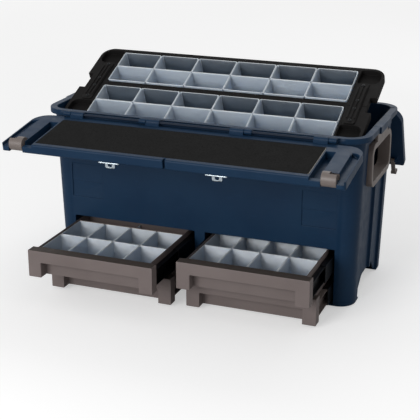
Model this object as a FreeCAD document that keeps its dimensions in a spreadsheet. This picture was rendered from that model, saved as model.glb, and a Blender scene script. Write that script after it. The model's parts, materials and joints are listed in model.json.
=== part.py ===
# Compartment storage box: a moulded box with four drawers below a tool well, a tilting frame
# of two parts trays above it, and two half lids that open to the front and to the rear.
# Millimetres and degrees. X runs to the viewer's right, Y to the rear, Z up, and the origin
# lies on the floor under the middle of the box. The box stands open, as it is photographed.

import FreeCAD, Part
import os
import re
import Sketcher
from FreeCAD import Vector

# Driving sizes, one spreadsheet cell each.
SIZES = {
    # Moulded box
    "rim_height": 318.0,  # floor to the top of the rim
    "tray_end_gap": 8.5,  # end of the trays to the wall of the well
    "tray_depth_margin": 26.75,  # long edge of the trays to the edge of the rim
    "rim_radius": 40.0,  # outer corner of the rim, in plan
    "flange_width": 9.5,  # how far the rim stands out from the wall
    "flange_height": 10.0,
    "base_radius": 30.0,
    "wall": 3.0,
    "end_lean": 8.5,  # how far each end wall leans in at its foot
    "front_lean": 5.5,
    "foot_height": 1.5,  # rubber feet below the moulding
    "foot_radius": 10.0,
    "foot_inset": 21.0,  # centre of a foot in from the foot of the wall
    "base_plate": 2.5,
    "end_recess": 4.5,  # middle of each end wall set back from the corner columns
    "arch_half": 74.0,  # opening between the legs at each end
    "arch_top_half": 36.0,
    "end_rib_centre": 8.0,  # upright rib in the recess of each end wall
    "end_rib_width": 8.0,
    "arch_height": 32.0,
    "arch_radius": 16.0,
    "front_recess": 1.0,  # shallow fields moulded in the front
    "field_length": 64.0,
    "field_lift": 39.3,  # top of the bays to the foot of the fields
    "field_step_height": 31.0,
    "field_height": 65.0,
    # Drawers
    "panel_height": 50.0,
    "panel_lap": 10.5,  # how far a drawer front reaches past the box behind it
    "strip_depth": 40.0,  # open strip behind the bins
    "panel_depth": 20.0,
    "band_height": 22.0,
    "band_skin": 3.0,
    "leg_width": 25.0,
    "drawer_wall": 2.0,
    "lower_drawer_bottom": 5.0,
    "bay_post_half": 10.2,  # half the post between the two columns of drawers
    "drawer_gap": 2.0,  # between an upper and a lower drawer
    "pull_upper_left": 190.0,  # how far each drawer is out
    "pull_upper_right": 146.0,
    "pull_lower_left": 110.0,
    "pull_lower_right": 101.0,
    "divider_thickness": 1.6,
    "divider_height": 36.0,
    # Drawer runners, three nested channels on each side
    "runner_thickness": 12.7,
    "runner_height": 35.0,
    "runner_gauge": 1.2,
    "runner_play": 0.4,
    "seat_gap": 0.3,
    # Loose bins
    "drawer_cup_length": 53.5,
    "drawer_cup_depth": 75.5,
    "drawer_cup_height": 45.0,
    "tray_cup_length": 79.0,
    "tray_cup_depth": 45.0,
    "tray_cup_height": 47.0,
    "cup_wall": 1.2,
    "cup_gap": 0.6,  # between neighbouring bins
    "cup_taper": 1.5,
    "cup_radius": 3.0,
    # Tray frame, in its own frame: from the pivot, along the trays and square to them
    "tray_tilt": 24.0,
    "pivot_inset": 36.8,  # edge of the rim to the pivot of the trays
    "pivot_drop": 19.7,
    "tray_top": 10.0,  # pivot to the tops of the bins
    "end_deck": 49.5,  # deck at each end of a tray
    "cup_margin": 8.5,  # bins to the line where the trays meet
    "rear_margin": 14.5,
    "waist_step": 11.0,
    "waist_front": 16.3,
    "waist_rear": 26.7,
    "tray_front_edge": -7.0,
    "tray_joint_gap": 0.6,
    "front_cups_start": 0.0,
    "tray_corner": 25.0,
    "tray_wall": 2.0,
    "deck_drop": 3.0,  # deck below the tops of the bins
    "deck_thickness": 3.0,
    "skirt_depth": 12.0,
    "grip_depth": 12.0,
    "grip_margin": 6.0,
    "grip_radius": 14.0,
    "front_grip_start": 3.0,
    "grip_length": 40.0,
    "grip_inner_radius": 5.0,  # corners of a finger grip beside the bins
    "bar_width": 20.0,
    "bar_front": 53.3,
    "bar_rear": 64.7,
    "bar_thickness": 2.5,
    "bar_ridge": 2.0,
    "bar_ridge_width": 3.0,
    "screw_radius": 1.6,
    "screw_head": 3.4,
    "screw_head_height": 1.6,
    "screw_length": 5.0,
    "pivot_radius": 3.0,
    "pivot_boss_radius": 6.5,
    "pivot_boss_length": 9.0,
    "pivot_cover": 1.6,  # wall left outside the pivot pin
    "fit_clearance": 0.05,  # radial, round every pin
    # Lids, in their own frame: from the hinge axis, shut, along the lid and up
    "hinge_pin_radius": 2.5,
    "hinge_out": 8.0,  # edge of the rim to a hinge axis
    "hinge_drop": 3.0,
    "hinge_barrel_radius": 4.8,
    "hinge_end_gap": 10.0,  # outer barrel of a hinge to the rounded corner of the rim
    "ear_width": 14.0,
    "knuckle_width": 26.0,
    "hinge_middle": 100.0,
    "knuckle_gap": 0.4,
    "lid_start": 4.0,
    "lid_gap": 2.0,  # half the gap between the shut lids
    "lid_overhang": 2.0,
    "deck_gap": 2.5,  # deck of a lid to the wall that it drops inside
    "lid_corner": 30.0,
    "lid_seat": 4.5,  # hinge axis to the edge of the lid that meets the rim
    "lid_deck": 1.5,  # hinge axis to the deck, which drops inside the rim
    "lid_top": 19.0,  # hinge axis to the outer skin
    "lid_skin": 3.0,
    "lid_roll": 15.0,  # round of the outer skin at the hinge
    "valley_depth": 10.0,
    "mat_thickness": 3.5,
    "mat_ledge": 6.0,
    "band_depth": 11.0,  # free edge of the lid to the mat
    "pocket_width": 17.0,
    "lid_rib_pitch": 80.0,
    "pocket_start": 40.0,
    "band_drop": 6.0,
    "slot_half_width": 2.0,
    "front_lid_open": 188.3,
    "rear_lid_open": 243.5,
    "cap_radius": 12.5,
    "cap_width": 25.5,
    "cap_notch_width": 12.5,
    "cap_height": 7.0,
    "cap_fit": 0.3,
    # Padlock staples
    "staple_left": -103.5,
    "staple_right": 91.5,
    "staple_plate_half": 19.5,
    "staple_plate_depth": 13.0,
    "staple_gauge": 2.0,
    "staple_half_width": 9.0,
    "staple_height": 13.0,
    "staple_hole": 4.0,
    "staple_inset": 1.0,
    "rivet_radius": 2.2,
    "rivet_head": 3.6,
    "rivet_spread": 14.5,
    # Catch clips of the rear lid
    "clip_stem_half": 4.0,
    "clip_gauge": 3.0,
    "clip_lift": 1.2,  # clip above the outer skin
    "clip_inset": 18.0,
    "clip_foot": 5.0,
    "clip_hook": 9.0,
    "clip_pin_radius": 1.5,
    "clip_barrel_radius": 3.6,
    "clip_ear": 3.0,
    # Handle liners
    "handle_half": 69.0,
    "handle_height": 67.0,
    "handle_drop": 33.0,  # top of the rim to the top of a handle opening
    "handle_radius": 16.0,
    "liner_wall": 4.0,
    "liner_flange": 6.0,
    "liner_inside": 6.0,
    "collar_inset": 3.0,  # face of a liner behind the edge of the rim
    "bridge_half": 40.0,
    "bridge_thickness": 2.2,
}

# Values worked out from the driving sizes, each written once.
DERIVED = {
    "rim_half_length": "tray_half_width + tray_end_gap + wall + flange_width",
    "rim_half_depth": "(tray_rear_edge - tray_front_edge) / 2 + tray_depth_margin",
    "base_half_length": "rim_half_length - flange_width - end_lean",
    "base_half_depth": "rim_half_depth - flange_width - front_lean",
    "end_recess_half": "handle_half + liner_flange + 3",
    "field_outer": "bay_outer + 2.2",
    "field_inner": "field_outer - field_length",
    "field_low": "bay_height + field_lift",
    "field_step": "field_low + field_step_height",
    "field_high": "field_low + field_height",
    "bay_centre": "bay_half + bay_post_half",
    "bay_height": "upper_drawer_bottom + panel_height + drawer_gap + 0.7",
    "closed_face": "base_half_depth - 1",
    "panel_width": "drawer_width + 2 * panel_lap",
    "drawer_width": "4 * drawer_cup_length + 2 * drawer_wall + 1",
    "drawer_length": "strip_wall_start + strip_depth + 2 * drawer_wall",
    "runner_length": "drawer_length - runner_start",
    "tray_pivot_y": "-(rim_half_depth - pivot_inset)",
    "tray_pivot_z": "rim_height - pivot_drop",
    "tray_half_width": "trough_half + end_deck",
    "tray_waist": "tray_half_width - waist_step",
    "tray_joint": "front_cups_start + 2 * tray_cup_depth + cup_margin - 0.2",
    "tray_rear_edge": "rear_cups_start + 2 * tray_cup_depth + rear_margin",
    "rear_cups_start": "tray_joint + cup_margin + 0.2",
    "waist_start": "tray_joint - waist_front",
    "waist_end": "tray_joint + waist_rear",
    "grip_inner": "trough_half + tray_wall + 1.5",
    "grip_outer": "tray_half_width - grip_margin",
    "rear_grip_start": "tray_rear_edge - grip_length - 7",
    "bar_inner": "trough_half + 8.5",
    "bar_outer": "bar_inner + bar_width",
    "bar_start": "tray_joint - bar_front",
    "bar_end": "tray_joint + bar_rear",
    "hinge_y": "rim_half_depth + hinge_out",
    "hinge_z": "rim_height - hinge_drop",
    "hinge_outer": "rim_half_length - rim_radius - hinge_end_gap",
    "lid_length": "hinge_y - lid_gap",
    "lid_half_width": "rim_half_length + lid_overhang",
    "deck_start": "hinge_y - (wall_top_depth - wall - deck_gap)",
    "arm_outer": "wall_top_length - wall - deck_gap",
    "deck_radius": "wall_top_radius - wall - deck_gap",
    "valley_outer": "lid_half_width - lid_skin",
    "mat_half_width": "pocket_inner - lid_skin",
    "mat_start": "deck_start + 2",
    "mat_end": "lid_length - band_depth",
    "pocket_inner": "pocket_outer - pocket_width",
    "pocket_outer": "cap_inner - 2",
    "cap_inner": "cap_outer - cap_width",
    "cap_outer": "arm_outer + 1.5",
    "cap_along": "lid_length - cap_radius + 0.5",
    "cap_notch_start": "cap_along - cap_radius + 1.5",
    "cap_notch_end": "cap_along + 4",
    "cap_notch_inner": "cap_outer - cap_notch_width",
    "clip_inner": "cap_notch_inner + 1",
    "clip_outer": "cap_outer - 0.5",
    "clip_pivot": "lid_length - clip_inset",
    "clip_end": "2 * hinge_y - cap_notch_start - 7",
    "handle_low": "handle_high - handle_height",
    "handle_high": "rim_height - handle_drop",
    "bridge_inner": "wall_top_length - wall - 3.5",
    "bridge_face": "rim_half_length + seat_gap + bridge_thickness",
    "collar_face": "rim_half_length - collar_inset",
    "wall_top_length": "rim_half_length - flange_width",
    "wall_top_depth": "rim_half_depth - flange_width",
    "wall_top_radius": "rim_radius - flange_width",
    "flange_bottom": "rim_height - flange_height",
    "floor_top": "foot_height + base_plate",
    "end_draft": "(wall_top_length - base_half_length) / (rim_height - foot_height)",
    "front_draft": "(wall_top_depth - base_half_depth) / (rim_height - foot_height)",
    "well_floor": "bay_height + seat_gap",
    "bay_half": "drawer_width / 2 + runner_thickness + 2 * seat_gap",
    "bay_inner": "bay_centre - bay_half",
    "bay_outer": "bay_centre + bay_half",
    "recess_top": "handle_high + liner_flange + 3",
    "end_panel_top": "base_half_length - end_recess + end_draft * (recess_top - foot_height)",
    "field_face": "base_half_depth + front_draft * (field_low - foot_height)",
    "upper_drawer_bottom": "lower_drawer_bottom + panel_height + drawer_gap",
    "cups_start": "panel_depth + drawer_wall + 0.5",
    "strip_wall_start": "cups_start + 2 * drawer_cup_depth + 0.5",
    "runner_start": "panel_depth + 2",
    "track": "runner_gauge + runner_play",
    "tray_deck": "tray_top - deck_drop",
    "tray_floor": "tray_top - tray_cup_height - seat_gap",
    "trough_half": "3 * tray_cup_length + 0.5",
    "well_inner_x": "wall_top_length - end_draft * (rim_height - tray_pivot_z) - wall",
    "pivot_end": "well_inner_x + wall - pivot_cover",
    "lid_face": "lid_top + clip_lift",
    "liner_outer_x": "base_half_length - end_recess + end_draft * (handle_low - foot_height)",
}


document = FreeCAD.newDocument("CompartmentBox")
sheet = document.addObject("Spreadsheet::Sheet", "Sizes")
for row, (alias, size) in enumerate(SIZES.items(), start=1):
    sheet.set(f"A{row}", alias.replace("_", " "))
    sheet.set(f"B{row}", str(size))
    sheet.setAlias(f"B{row}", alias)
document.recompute()
derived = document.addObject("App::VarSet", "Derived")


def expression(text):
    """Name the sheet or the derived set in front of each size in an expression."""

    def owner(match):
        word = match.group(0)
        if word in SIZES:
            return f"Sizes.{word}"
        return f"Derived.{word}" if word in DERIVED else word

    return re.sub(r"[a-z_][a-z_0-9]*", owner, str(text))


for name in DERIVED:
    derived.addProperty("App::PropertyFloat", name)
for name, text in DERIVED.items():
    derived.setExpression(name, expression(text).replace("Derived.", ""))
document.recompute()

nodes = []


def bind(item, **properties):
    """Tie properties to expressions. A double underscore stands for a point in a path."""
    for path, text in properties.items():
        item.setExpression(path.replace("__", "."), expression(text))
    return item


def block(name, x, y, z):
    """A box between a low and a high expression on each axis."""
    item = document.addObject("Part::Box", name)
    for axis, side, (low, high) in zip("xyz", ("Length", "Width", "Height"), (x, y, z)):
        item.setExpression(side, expression(f"({high}) - ({low})"))
        item.setExpression(f"Placement.Base.{axis}", expression(low))
    return item


TURNS = {"x": ((0, 1, 0), 90), "y": ((1, 0, 0), -90), "z": ((0, 0, 1), 0)}


def rod(name, axis, centre, low, high, radius):
    """A cylinder along an axis from low to high. The centre holds the other two places."""
    item = document.addObject("Part::Cylinder", name)
    item.Placement.Rotation = FreeCAD.Rotation(Vector(*TURNS[axis][0]), TURNS[axis][1])
    places = list(centre)
    places.insert("xyz".index(axis), low)
    for letter, place in zip("xyz", places):
        item.setExpression(f"Placement.Base.{letter}", expression(place))
    return bind(item, Radius=radius, Height=f"({high}) - ({low})")


def fuse(name, *items):
    """One solid of several."""
    item = document.addObject("Part::MultiFuse", name)
    item.Shapes = list(items)
    item.Refine = True
    return item


def cut(name, base, *tools):
    """A base with tools taken away."""
    item = document.addObject("Part::Cut", name)
    item.Base = base
    item.Tool = tools[0] if len(tools) == 1 else fuse(name + "Tools", *tools)
    item.Refine = True
    return item


def common(name, first, second):
    """What two shapes share."""
    item = document.addObject("Part::Common", name)
    item.Base = first
    item.Tool = second
    item.Refine = True
    return item


def mirrored(name, source, axis="x"):
    """A copy on the other side of the middle plane."""
    item = document.addObject("Part::Mirroring", name)
    item.Source = source
    item.Normal = Vector(1, 0, 0) if axis == "x" else Vector(0, 1, 0)
    return item


def both(name, source, axis="x"):
    """A piece together with its mirror image, as one shape."""
    return fuse(name, source, mirrored(name + "Mirror", source, axis))


def copy_at(name, source, **places):
    """A linked copy whose place is bound to expressions."""
    item = document.addObject("App::Link", name)
    item.LinkedObject = source
    for letter, text in places.items():
        item.setExpression(f"Placement.Base.{letter}", expression(text))
    return item


def group(name, items):
    """Several separate solids kept as one shape."""
    item = document.addObject("Part::Compound", name)
    item.Links = list(items)
    return item


def node(item, label, place=None):
    """Make an object a sub-part that is written out under its label."""
    item.Label = label
    if place:
        item.setExpression("Placement", expression(place))
    nodes.append(item)
    return item


def polygon(sketch, points):
    """Closed straight outline whose corners are bound to expressions."""
    document.recompute()
    spare = document.addObject("App::VarSet", "Spare")
    corners = []
    for index, (across, up) in enumerate(points):
        for letter, text in (("u", across), ("v", up)):
            spare.addProperty("App::PropertyFloat", f"{letter}{index}")
            spare.setExpression(f"{letter}{index}", expression(text))
    spare.recompute()
    for index in range(len(points)):
        corners.append(Vector(getattr(spare, f"u{index}"), getattr(spare, f"v{index}"), 0))
    document.removeObject(spare.Name)
    count = len(points)
    for index in range(count):
        sketch.addGeometry(Part.LineSegment(corners[index], corners[(index + 1) % count]), False)
    for index in range(count):
        sketch.addConstraint(Sketcher.Constraint("Coincident", index, 2, (index + 1) % count, 1))
    for index, (across, up) in enumerate(points):
        for kind, text, value in (
            ("DistanceX", across, corners[index].x),
            ("DistanceY", up, corners[index].y),
        ):
            place = sketch.addConstraint(Sketcher.Constraint(kind, -1, 1, index, 1, value))
            sketch.setExpression(f"Constraints[{place}]", expression(text))
    return corners


ROLES = {"xy": "XY_Plane", "xz": "XZ_Plane", "yz": "YZ_Plane"}
ACROSS = {"xy": (0, 1, 2), "xz": (0, 2, 1), "yz": (1, 2, 0)}


def attached_sketch(body, plane, level):
    """A sketch on one of the body's origin planes, moved along the plane's normal."""
    sketch = body.newObject("Sketcher::SketchObject", body.Name + "Sketch")
    role = ROLES[plane]
    support = [item for item in body.Origin.OriginFeatures if item.Role == role][0]
    sketch.AttachmentSupport = [(support, "")]
    sketch.MapMode = "FlatFace"
    sketch.setExpression("AttachmentOffset.Base.z", expression(level))
    return sketch


def edges_at(shape, plane, corners):
    """Names of the edges that run square to a plane through the given corners."""
    first, second, along = ACROSS[plane]
    names = []
    for index, edge in enumerate(shape.Edges, start=1):
        if len(edge.Vertexes) < 2:
            continue
        start, end = edge.Vertexes[0].Point, edge.Vertexes[-1].Point
        step = end - start
        if abs(step[along]) < 0.9 * step.Length:
            continue
        for corner in corners:
            if abs(start[first] - corner.x) + abs(start[second] - corner.y) < 0.01:
                names.append(f"Edge{index}")
    return names


def prism(name, plane, outline, low, high, rounds=()):
    """A body padded from an outline between two levels, with corners rounded.

    rounds holds pairs of corner numbers and a radius. The plane xz is seen from the front.
    """
    body = document.addObject("PartDesign::Body", name)
    level = f"-({high})" if plane == "xz" else low
    sketch = attached_sketch(body, plane, level)
    corners = polygon(sketch, outline)
    solid = body.newObject("PartDesign::Pad", name + "Pad")
    solid.Profile = sketch
    bind(solid, Length=f"({high}) - ({low})")
    document.recompute()
    for number, (chosen, radius) in enumerate(rounds):
        picked = [corners[index] for index in chosen]
        names = edges_at(solid.Shape, plane, picked)
        fillet = body.newObject("PartDesign::Fillet", f"{name}Round{number}")
        fillet.Base = (solid, names)
        bind(fillet, Radius=radius)
        document.recompute()
        solid = fillet
    return body


def rectangle(left, right, bottom, top):
    """Corner points of a rectangle, anticlockwise from the lower left."""
    return [(left, bottom), (right, bottom), (right, top), (left, top)]


def rounded_plan(name, half_x, half_y, radius, level):
    """A rounded rectangle about the Z axis, as a level sketch."""
    sketch = document.addObject("Sketcher::SketchObject", name)
    sketch.setExpression("Placement.Base.z", expression(level))
    document.recompute()
    spare = document.addObject("App::VarSet", "Spare")
    for letter, text in (("x", half_x), ("y", half_y), ("r", radius)):
        spare.addProperty("App::PropertyFloat", "value_" + letter)
        spare.setExpression("value_" + letter, expression(text))
    spare.recompute()
    long, deep, curve = spare.value_x, spare.value_y, spare.value_r
    document.removeObject(spare.Name)
    inner_x, inner_y = f"({half_x}) - ({radius})", f"({half_y}) - ({radius})"
    sides = [
        ((-1, -1, inner_x, half_y), (1, -1, inner_x, half_y)),
        ((1, -1, half_x, inner_y), (1, 1, half_x, inner_y)),
        ((1, 1, inner_x, half_y), (-1, 1, inner_x, half_y)),
        ((-1, 1, half_x, inner_y), (-1, -1, half_x, inner_y)),
    ]
    numbers = {half_x: long, half_y: deep, inner_x: long - curve, inner_y: deep - curve}
    for ends in sides:
        points = [Vector(sx * numbers[tx], sy * numbers[ty], 0) for sx, sy, tx, ty in ends]
        sketch.addGeometry(Part.LineSegment(*points), False)
    quarter = 1.5707963267948966
    for index, (sx, sy) in enumerate(((1, -1), (1, 1), (-1, 1), (-1, -1))):
        centre = Vector(sx * (long - curve), sy * (deep - curve), 0)
        circle = Part.Circle(centre, Vector(0, 0, 1), curve)
        start = (index - 1) * quarter
        sketch.addGeometry(Part.ArcOfCircle(circle, start, start + quarter), False)
    for index, ends in enumerate(sides):
        for end, (sx, sy, tx, ty) in enumerate(ends, start=1):
            for kind, sign, text in (("DistanceX", sx, tx), ("DistanceY", sy, ty)):
                value = sign * numbers[text]
                place = sketch.addConstraint(
                    Sketcher.Constraint(kind, -1, 1, index, end, value)
                )
                sketch.setExpression(f"Constraints[{place}]", expression(f"{sign} * ({text})"))
    for index in range(4):
        arc = 4 + index
        sketch.addConstraint(Sketcher.Constraint("Coincident", arc, 1, index, 2))
        sketch.addConstraint(Sketcher.Constraint("Coincident", arc, 2, (index + 1) % 4, 1))
        place = sketch.addConstraint(Sketcher.Constraint("Radius", arc, curve))
        sketch.setExpression(f"Constraints[{place}]", expression(radius))
    return sketch


def plan_loft(name, *plans):
    """A solid skinned straight over rounded rectangles."""
    loft = document.addObject("Part::Loft", name)
    loft.Sections = list(plans)
    loft.Solid = True
    loft.Ruled = True
    return loft


# Moulded box: drafted walls, rim, drawer bays, legs, hinge ears and pivot bosses


def box_shell():
    """The one large moulding that carries everything."""
    outer = plan_loft(
        "OuterWall",
        rounded_plan("OuterFoot", "base_half_length", "base_half_depth", "base_radius", "foot_height"),
        rounded_plan("OuterTop", "wall_top_length", "wall_top_depth", "wall_top_radius", "rim_height"),
    )
    inner = plan_loft(
        "InnerWall",
        rounded_plan(
            "InnerFoot",
            "base_half_length - wall",
            "base_half_depth - wall",
            "base_radius - wall",
            "foot_height",
        ),
        rounded_plan(
            "InnerTop",
            "wall_top_length - wall",
            "wall_top_depth - wall",
            "wall_top_radius - wall",
            "rim_height",
        ),
    )
    rim = plan_loft(
        "Rim",
        rounded_plan("RimFoot", "rim_half_length", "rim_half_depth", "rim_radius", "flange_bottom"),
        rounded_plan("RimTop", "rim_half_length", "rim_half_depth", "rim_radius", "rim_height"),
    )
    outside, inside = (
        prism(
            name,
            "xz",
            [
                (f"base_half_length - end_recess - {back} - end_draft * foot_height", "0"),
                ("rim_half_length + 20", "0"),
                ("rim_half_length + 20", f"recess_top + {back}"),
                (f"end_panel_top - {back} + end_draft * {back}", f"recess_top + {back}"),
            ],
            f"-(end_recess_half + {back})",
            f"end_recess_half + {back}",
        )
        for name, back in (("EndRecess", "0"), ("EndPanelBack", "wall"))
    )
    hollow = cut("Hollow", inner, both("EndPanels", inside))
    skin = cut("Skin", fuse("Solid", outer, rim), hollow, both("EndRecesses", outside))
    floor = common(
        "BasePlate",
        outer,
        block(
            "BaseSlab",
            ("-rim_half_length", "rim_half_length"),
            ("-rim_half_depth", "rim_half_depth"),
            ("foot_height", "floor_top"),
        ),
    )
    rib_shape = block(
        "EndRib",
        ("end_panel_top - end_recess - wall", "rim_half_length"),
        ("end_rib_centre - end_rib_width / 2", "end_rib_centre + end_rib_width / 2"),
        ("foot_height", "handle_low - liner_flange - 4"),
    )
    end_ribs = both("EndRibs", common("EndRibFitted", rib_shape, outer))
    bays = fuse(
        "BayWalls",
        block("BayWallInner", ("bay_inner - wall", "bay_inner"), BAY_REACH, BAY_RISE),
        block("BayWallOuter", ("bay_outer", "bay_outer + wall"), BAY_REACH, BAY_RISE),
    )
    bay_walls = common("BayWallsFitted", both("AllBayWalls", bays), outer)
    body = fuse("Carcass", skin, floor, bay_walls, end_ribs, *hinge_ears(), *pivot_bosses())
    mouth = block(
        "BayMouth",
        ("bay_inner", "bay_outer"),
        ("-rim_half_depth", "-(base_half_depth - 2 * wall)"),
        ("floor_top", "bay_height"),
    )
    arch = prism(
        "Arch",
        "yz",
        [
            ("-arch_half", "0"),
            ("arch_half", "0"),
            ("arch_top_half", "foot_height + arch_height"),
            ("-arch_top_half", "foot_height + arch_height"),
        ],
        "bay_outer + wall",
        "rim_half_length",
        [((2, 3), "arch_radius")],
    )
    handle = prism(
        "HandleOpening",
        "yz",
        rectangle("-handle_half", "handle_half", "handle_low", "handle_high"),
        "bridge_inner - 30",
        "rim_half_length + 10",
        [((0, 1, 2, 3), "handle_radius")],
    )
    bridge_seat = block(
        "BridgeSeat",
        ("bridge_inner - 10", "rim_half_length + 1"),
        ("-(bridge_half + seat_gap)", "bridge_half + seat_gap"),
        ("rim_height - bridge_thickness - seat_gap", "rim_height + 1"),
    )
    field = block(
        "Field",
        ("field_inner", "field_outer"),
        ("-rim_half_depth", "-(field_face - front_recess)"),
        ("field_low", "field_high"),
    )
    field_foot = block(
        "FieldFoot",
        ("field_inner", "field_outer"),
        ("-rim_half_depth", "-(field_face - front_recess - 0.8)"),
        ("field_low", "field_step"),
    )
    pin_holes = [
        rod(
            f"PinHole{index}",
            "x",
            (f"{sign} * hinge_y", "hinge_z"),
            "-rim_half_length",
            "rim_half_length",
            "hinge_pin_radius + fit_clearance",
        )
        for index, sign in enumerate((-1, 1))
    ]
    pivot_hole = rod(
        "PivotHole",
        "x",
        ("tray_pivot_y", "tray_pivot_z"),
        "tray_half_width - 5",
        "pivot_end",
        "pivot_radius + fit_clearance",
    )
    sides = both("SideCuts", fuse("SideCut", mouth, arch, handle, bridge_seat, field, field_foot))
    shell = cut("BoxShell", body, sides, both("PivotHoles", pivot_hole), *pin_holes)
    node(shell, "box_shell")


BAY_REACH = ("-rim_half_depth", "rim_half_depth")
BAY_RISE = ("foot_height", "bay_height")


def hinge_stations(width, offset):
    """Low and high X of the barrels of one part of a hinge, right of the middle."""
    outer = f"hinge_outer - {offset}"
    middle = f"hinge_middle + ear_width / 2 - {offset}"
    return [(f"{place} - {width}", place) for place in (outer, middle)]


def hinge_ears():
    """Barrels on the rim that hold the two hinge pins."""
    ears = []
    for index, (low, high) in enumerate(hinge_stations("ear_width", "0")):
        barrel = rod(f"EarBarrel{index}", "x", ("-hinge_y", "hinge_z"), low, high, "hinge_barrel_radius")
        web = block(
            f"EarWeb{index}",
            (low, high),
            ("-hinge_y", "-(rim_half_depth - 1)"),
            ("hinge_z - hinge_barrel_radius", "rim_height - 0.5"),
        )
        ears.append(fuse(f"Ear{index}", barrel, web))
    front = both("FrontEars", fuse("Ears", *ears))
    return front, mirrored("RearEars", front, "y")


def pivot_bosses():
    """Bosses inside the end walls for the pivot pins of the tray frame."""
    boss = rod(
        "PivotBoss",
        "x",
        ("tray_pivot_y", "tray_pivot_z"),
        "tray_half_width + 2",
        "well_inner_x + wall / 2",
        "pivot_boss_radius",
    )
    return (both("PivotBosses", boss),)


def well_floor():
    """Loose floor of the tool well, which lies over the drawer bays."""
    reach = "base_half_length - end_recess + end_draft * (well_floor - foot_height) - wall - 1"
    depth = "base_half_depth + front_draft * (well_floor - foot_height) - wall - 1"
    plate = prism(
        "WellFloor",
        "xy",
        rectangle(f"-({reach})", reach, f"-({depth})", depth),
        "well_floor",
        "well_floor + wall",
        [((0, 1, 2, 3), "base_radius - wall")],
    )
    node(plate, "well_floor")


def feet():
    """Four round rubber feet under the corner columns."""
    x, y = "base_half_length - foot_inset", "base_half_depth - foot_inset"
    foot = rod("Foot", "z", (x, y), "0", "foot_height", "foot_radius")
    right = group("FeetRight", [foot, mirrored("FootFront", foot, "y")])
    node(group("Feet", [right, mirrored("FeetLeft", right)]), "rubber_feet")


def handle_liner():
    """Grey liner round a handle opening, with a bridge that clips over the rim."""
    gap = "handle_half - seat_gap"
    low, high = "handle_low + seat_gap", "handle_high - seat_gap"
    tube = prism(
        "LinerTube",
        "yz",
        rectangle(f"-({gap})", gap, low, high),
        "liner_outer_x - wall - liner_inside",
        "collar_face",
        [((0, 1, 2, 3), "handle_radius - seat_gap")],
    )
    collar = prism(
        "LinerCollar",
        "yz",
        rectangle(
            "-(handle_half + liner_flange)",
            "handle_half + liner_flange",
            "handle_low - liner_flange",
            "handle_high + liner_flange",
        ),
        "end_panel_top + seat_gap",
        "collar_face",
        [((0, 1, 2, 3), "handle_radius + liner_flange")],
    )
    hole = prism(
        "LinerHole",
        "yz",
        rectangle(
            "-(handle_half - liner_wall)",
            "handle_half - liner_wall",
            "handle_low + liner_wall",
            "handle_high - liner_wall",
        ),
        "bridge_inner - 40",
        "rim_half_length + 10",
        [((0, 1, 2, 3), "handle_radius - liner_wall")],
    )
    side = ("-bridge_half", "bridge_half")
    under = "flange_bottom - seat_gap"
    pad_under = block(
        "BridgeUnder",
        ("end_panel_top + end_recess + 2 * seat_gap", "collar_face"),
        side,
        ("handle_high", under),
    )
    ledge = block(
        "BridgeLedge",
        ("collar_face - bridge_thickness", "bridge_face"),
        side,
        (f"{under} - bridge_thickness", under),
    )
    outside = block(
        "BridgeOutside",
        ("rim_half_length + seat_gap", "bridge_face"),
        side,
        (f"{under} - bridge_thickness", "rim_height"),
    )
    top = block(
        "BridgeTop",
        ("wall_top_length - wall", "bridge_face"),
        side,
        ("rim_height - bridge_thickness", "rim_height"),
    )
    solid = fuse("LinerSolid", tube, collar, pad_under, ledge, outside, top)
    right = cut("HandleLiner", solid, hole)
    node(right, "handle_liner_right")
    node(mirrored("HandleLinerLeft", right), "handle_liner_left")


def hinge_pins():
    """One steel pin through each row of hinge barrels."""
    for side, sign in (("front", -1), ("rear", 1)):
        pin = rod(
            f"HingePin{side}",
            "x",
            (f"{sign} * hinge_y", "hinge_z"),
            "-hinge_outer",
            "hinge_outer",
            "hinge_pin_radius",
        )
        node(pin, f"hinge_pin_{side}")


def pivot_pins():
    """Pins that carry the tray frame in the end walls."""
    pin = rod(
        "PivotPin",
        "x",
        ("tray_pivot_y", "tray_pivot_z"),
        "tray_half_width - pivot_boss_length + seat_gap",
        "pivot_end - seat_gap",
        "pivot_radius",
    )
    node(group("PivotPins", [pin, mirrored("PivotPinLeft", pin)]), "tray_pivot_pins")


# Drawers and runners

DRAWERS = (
    ("upper_left", -1, "upper_drawer_bottom"),
    ("upper_right", 1, "upper_drawer_bottom"),
    ("lower_left", -1, "lower_drawer_bottom"),
    ("lower_right", 1, "lower_drawer_bottom"),
)


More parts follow.
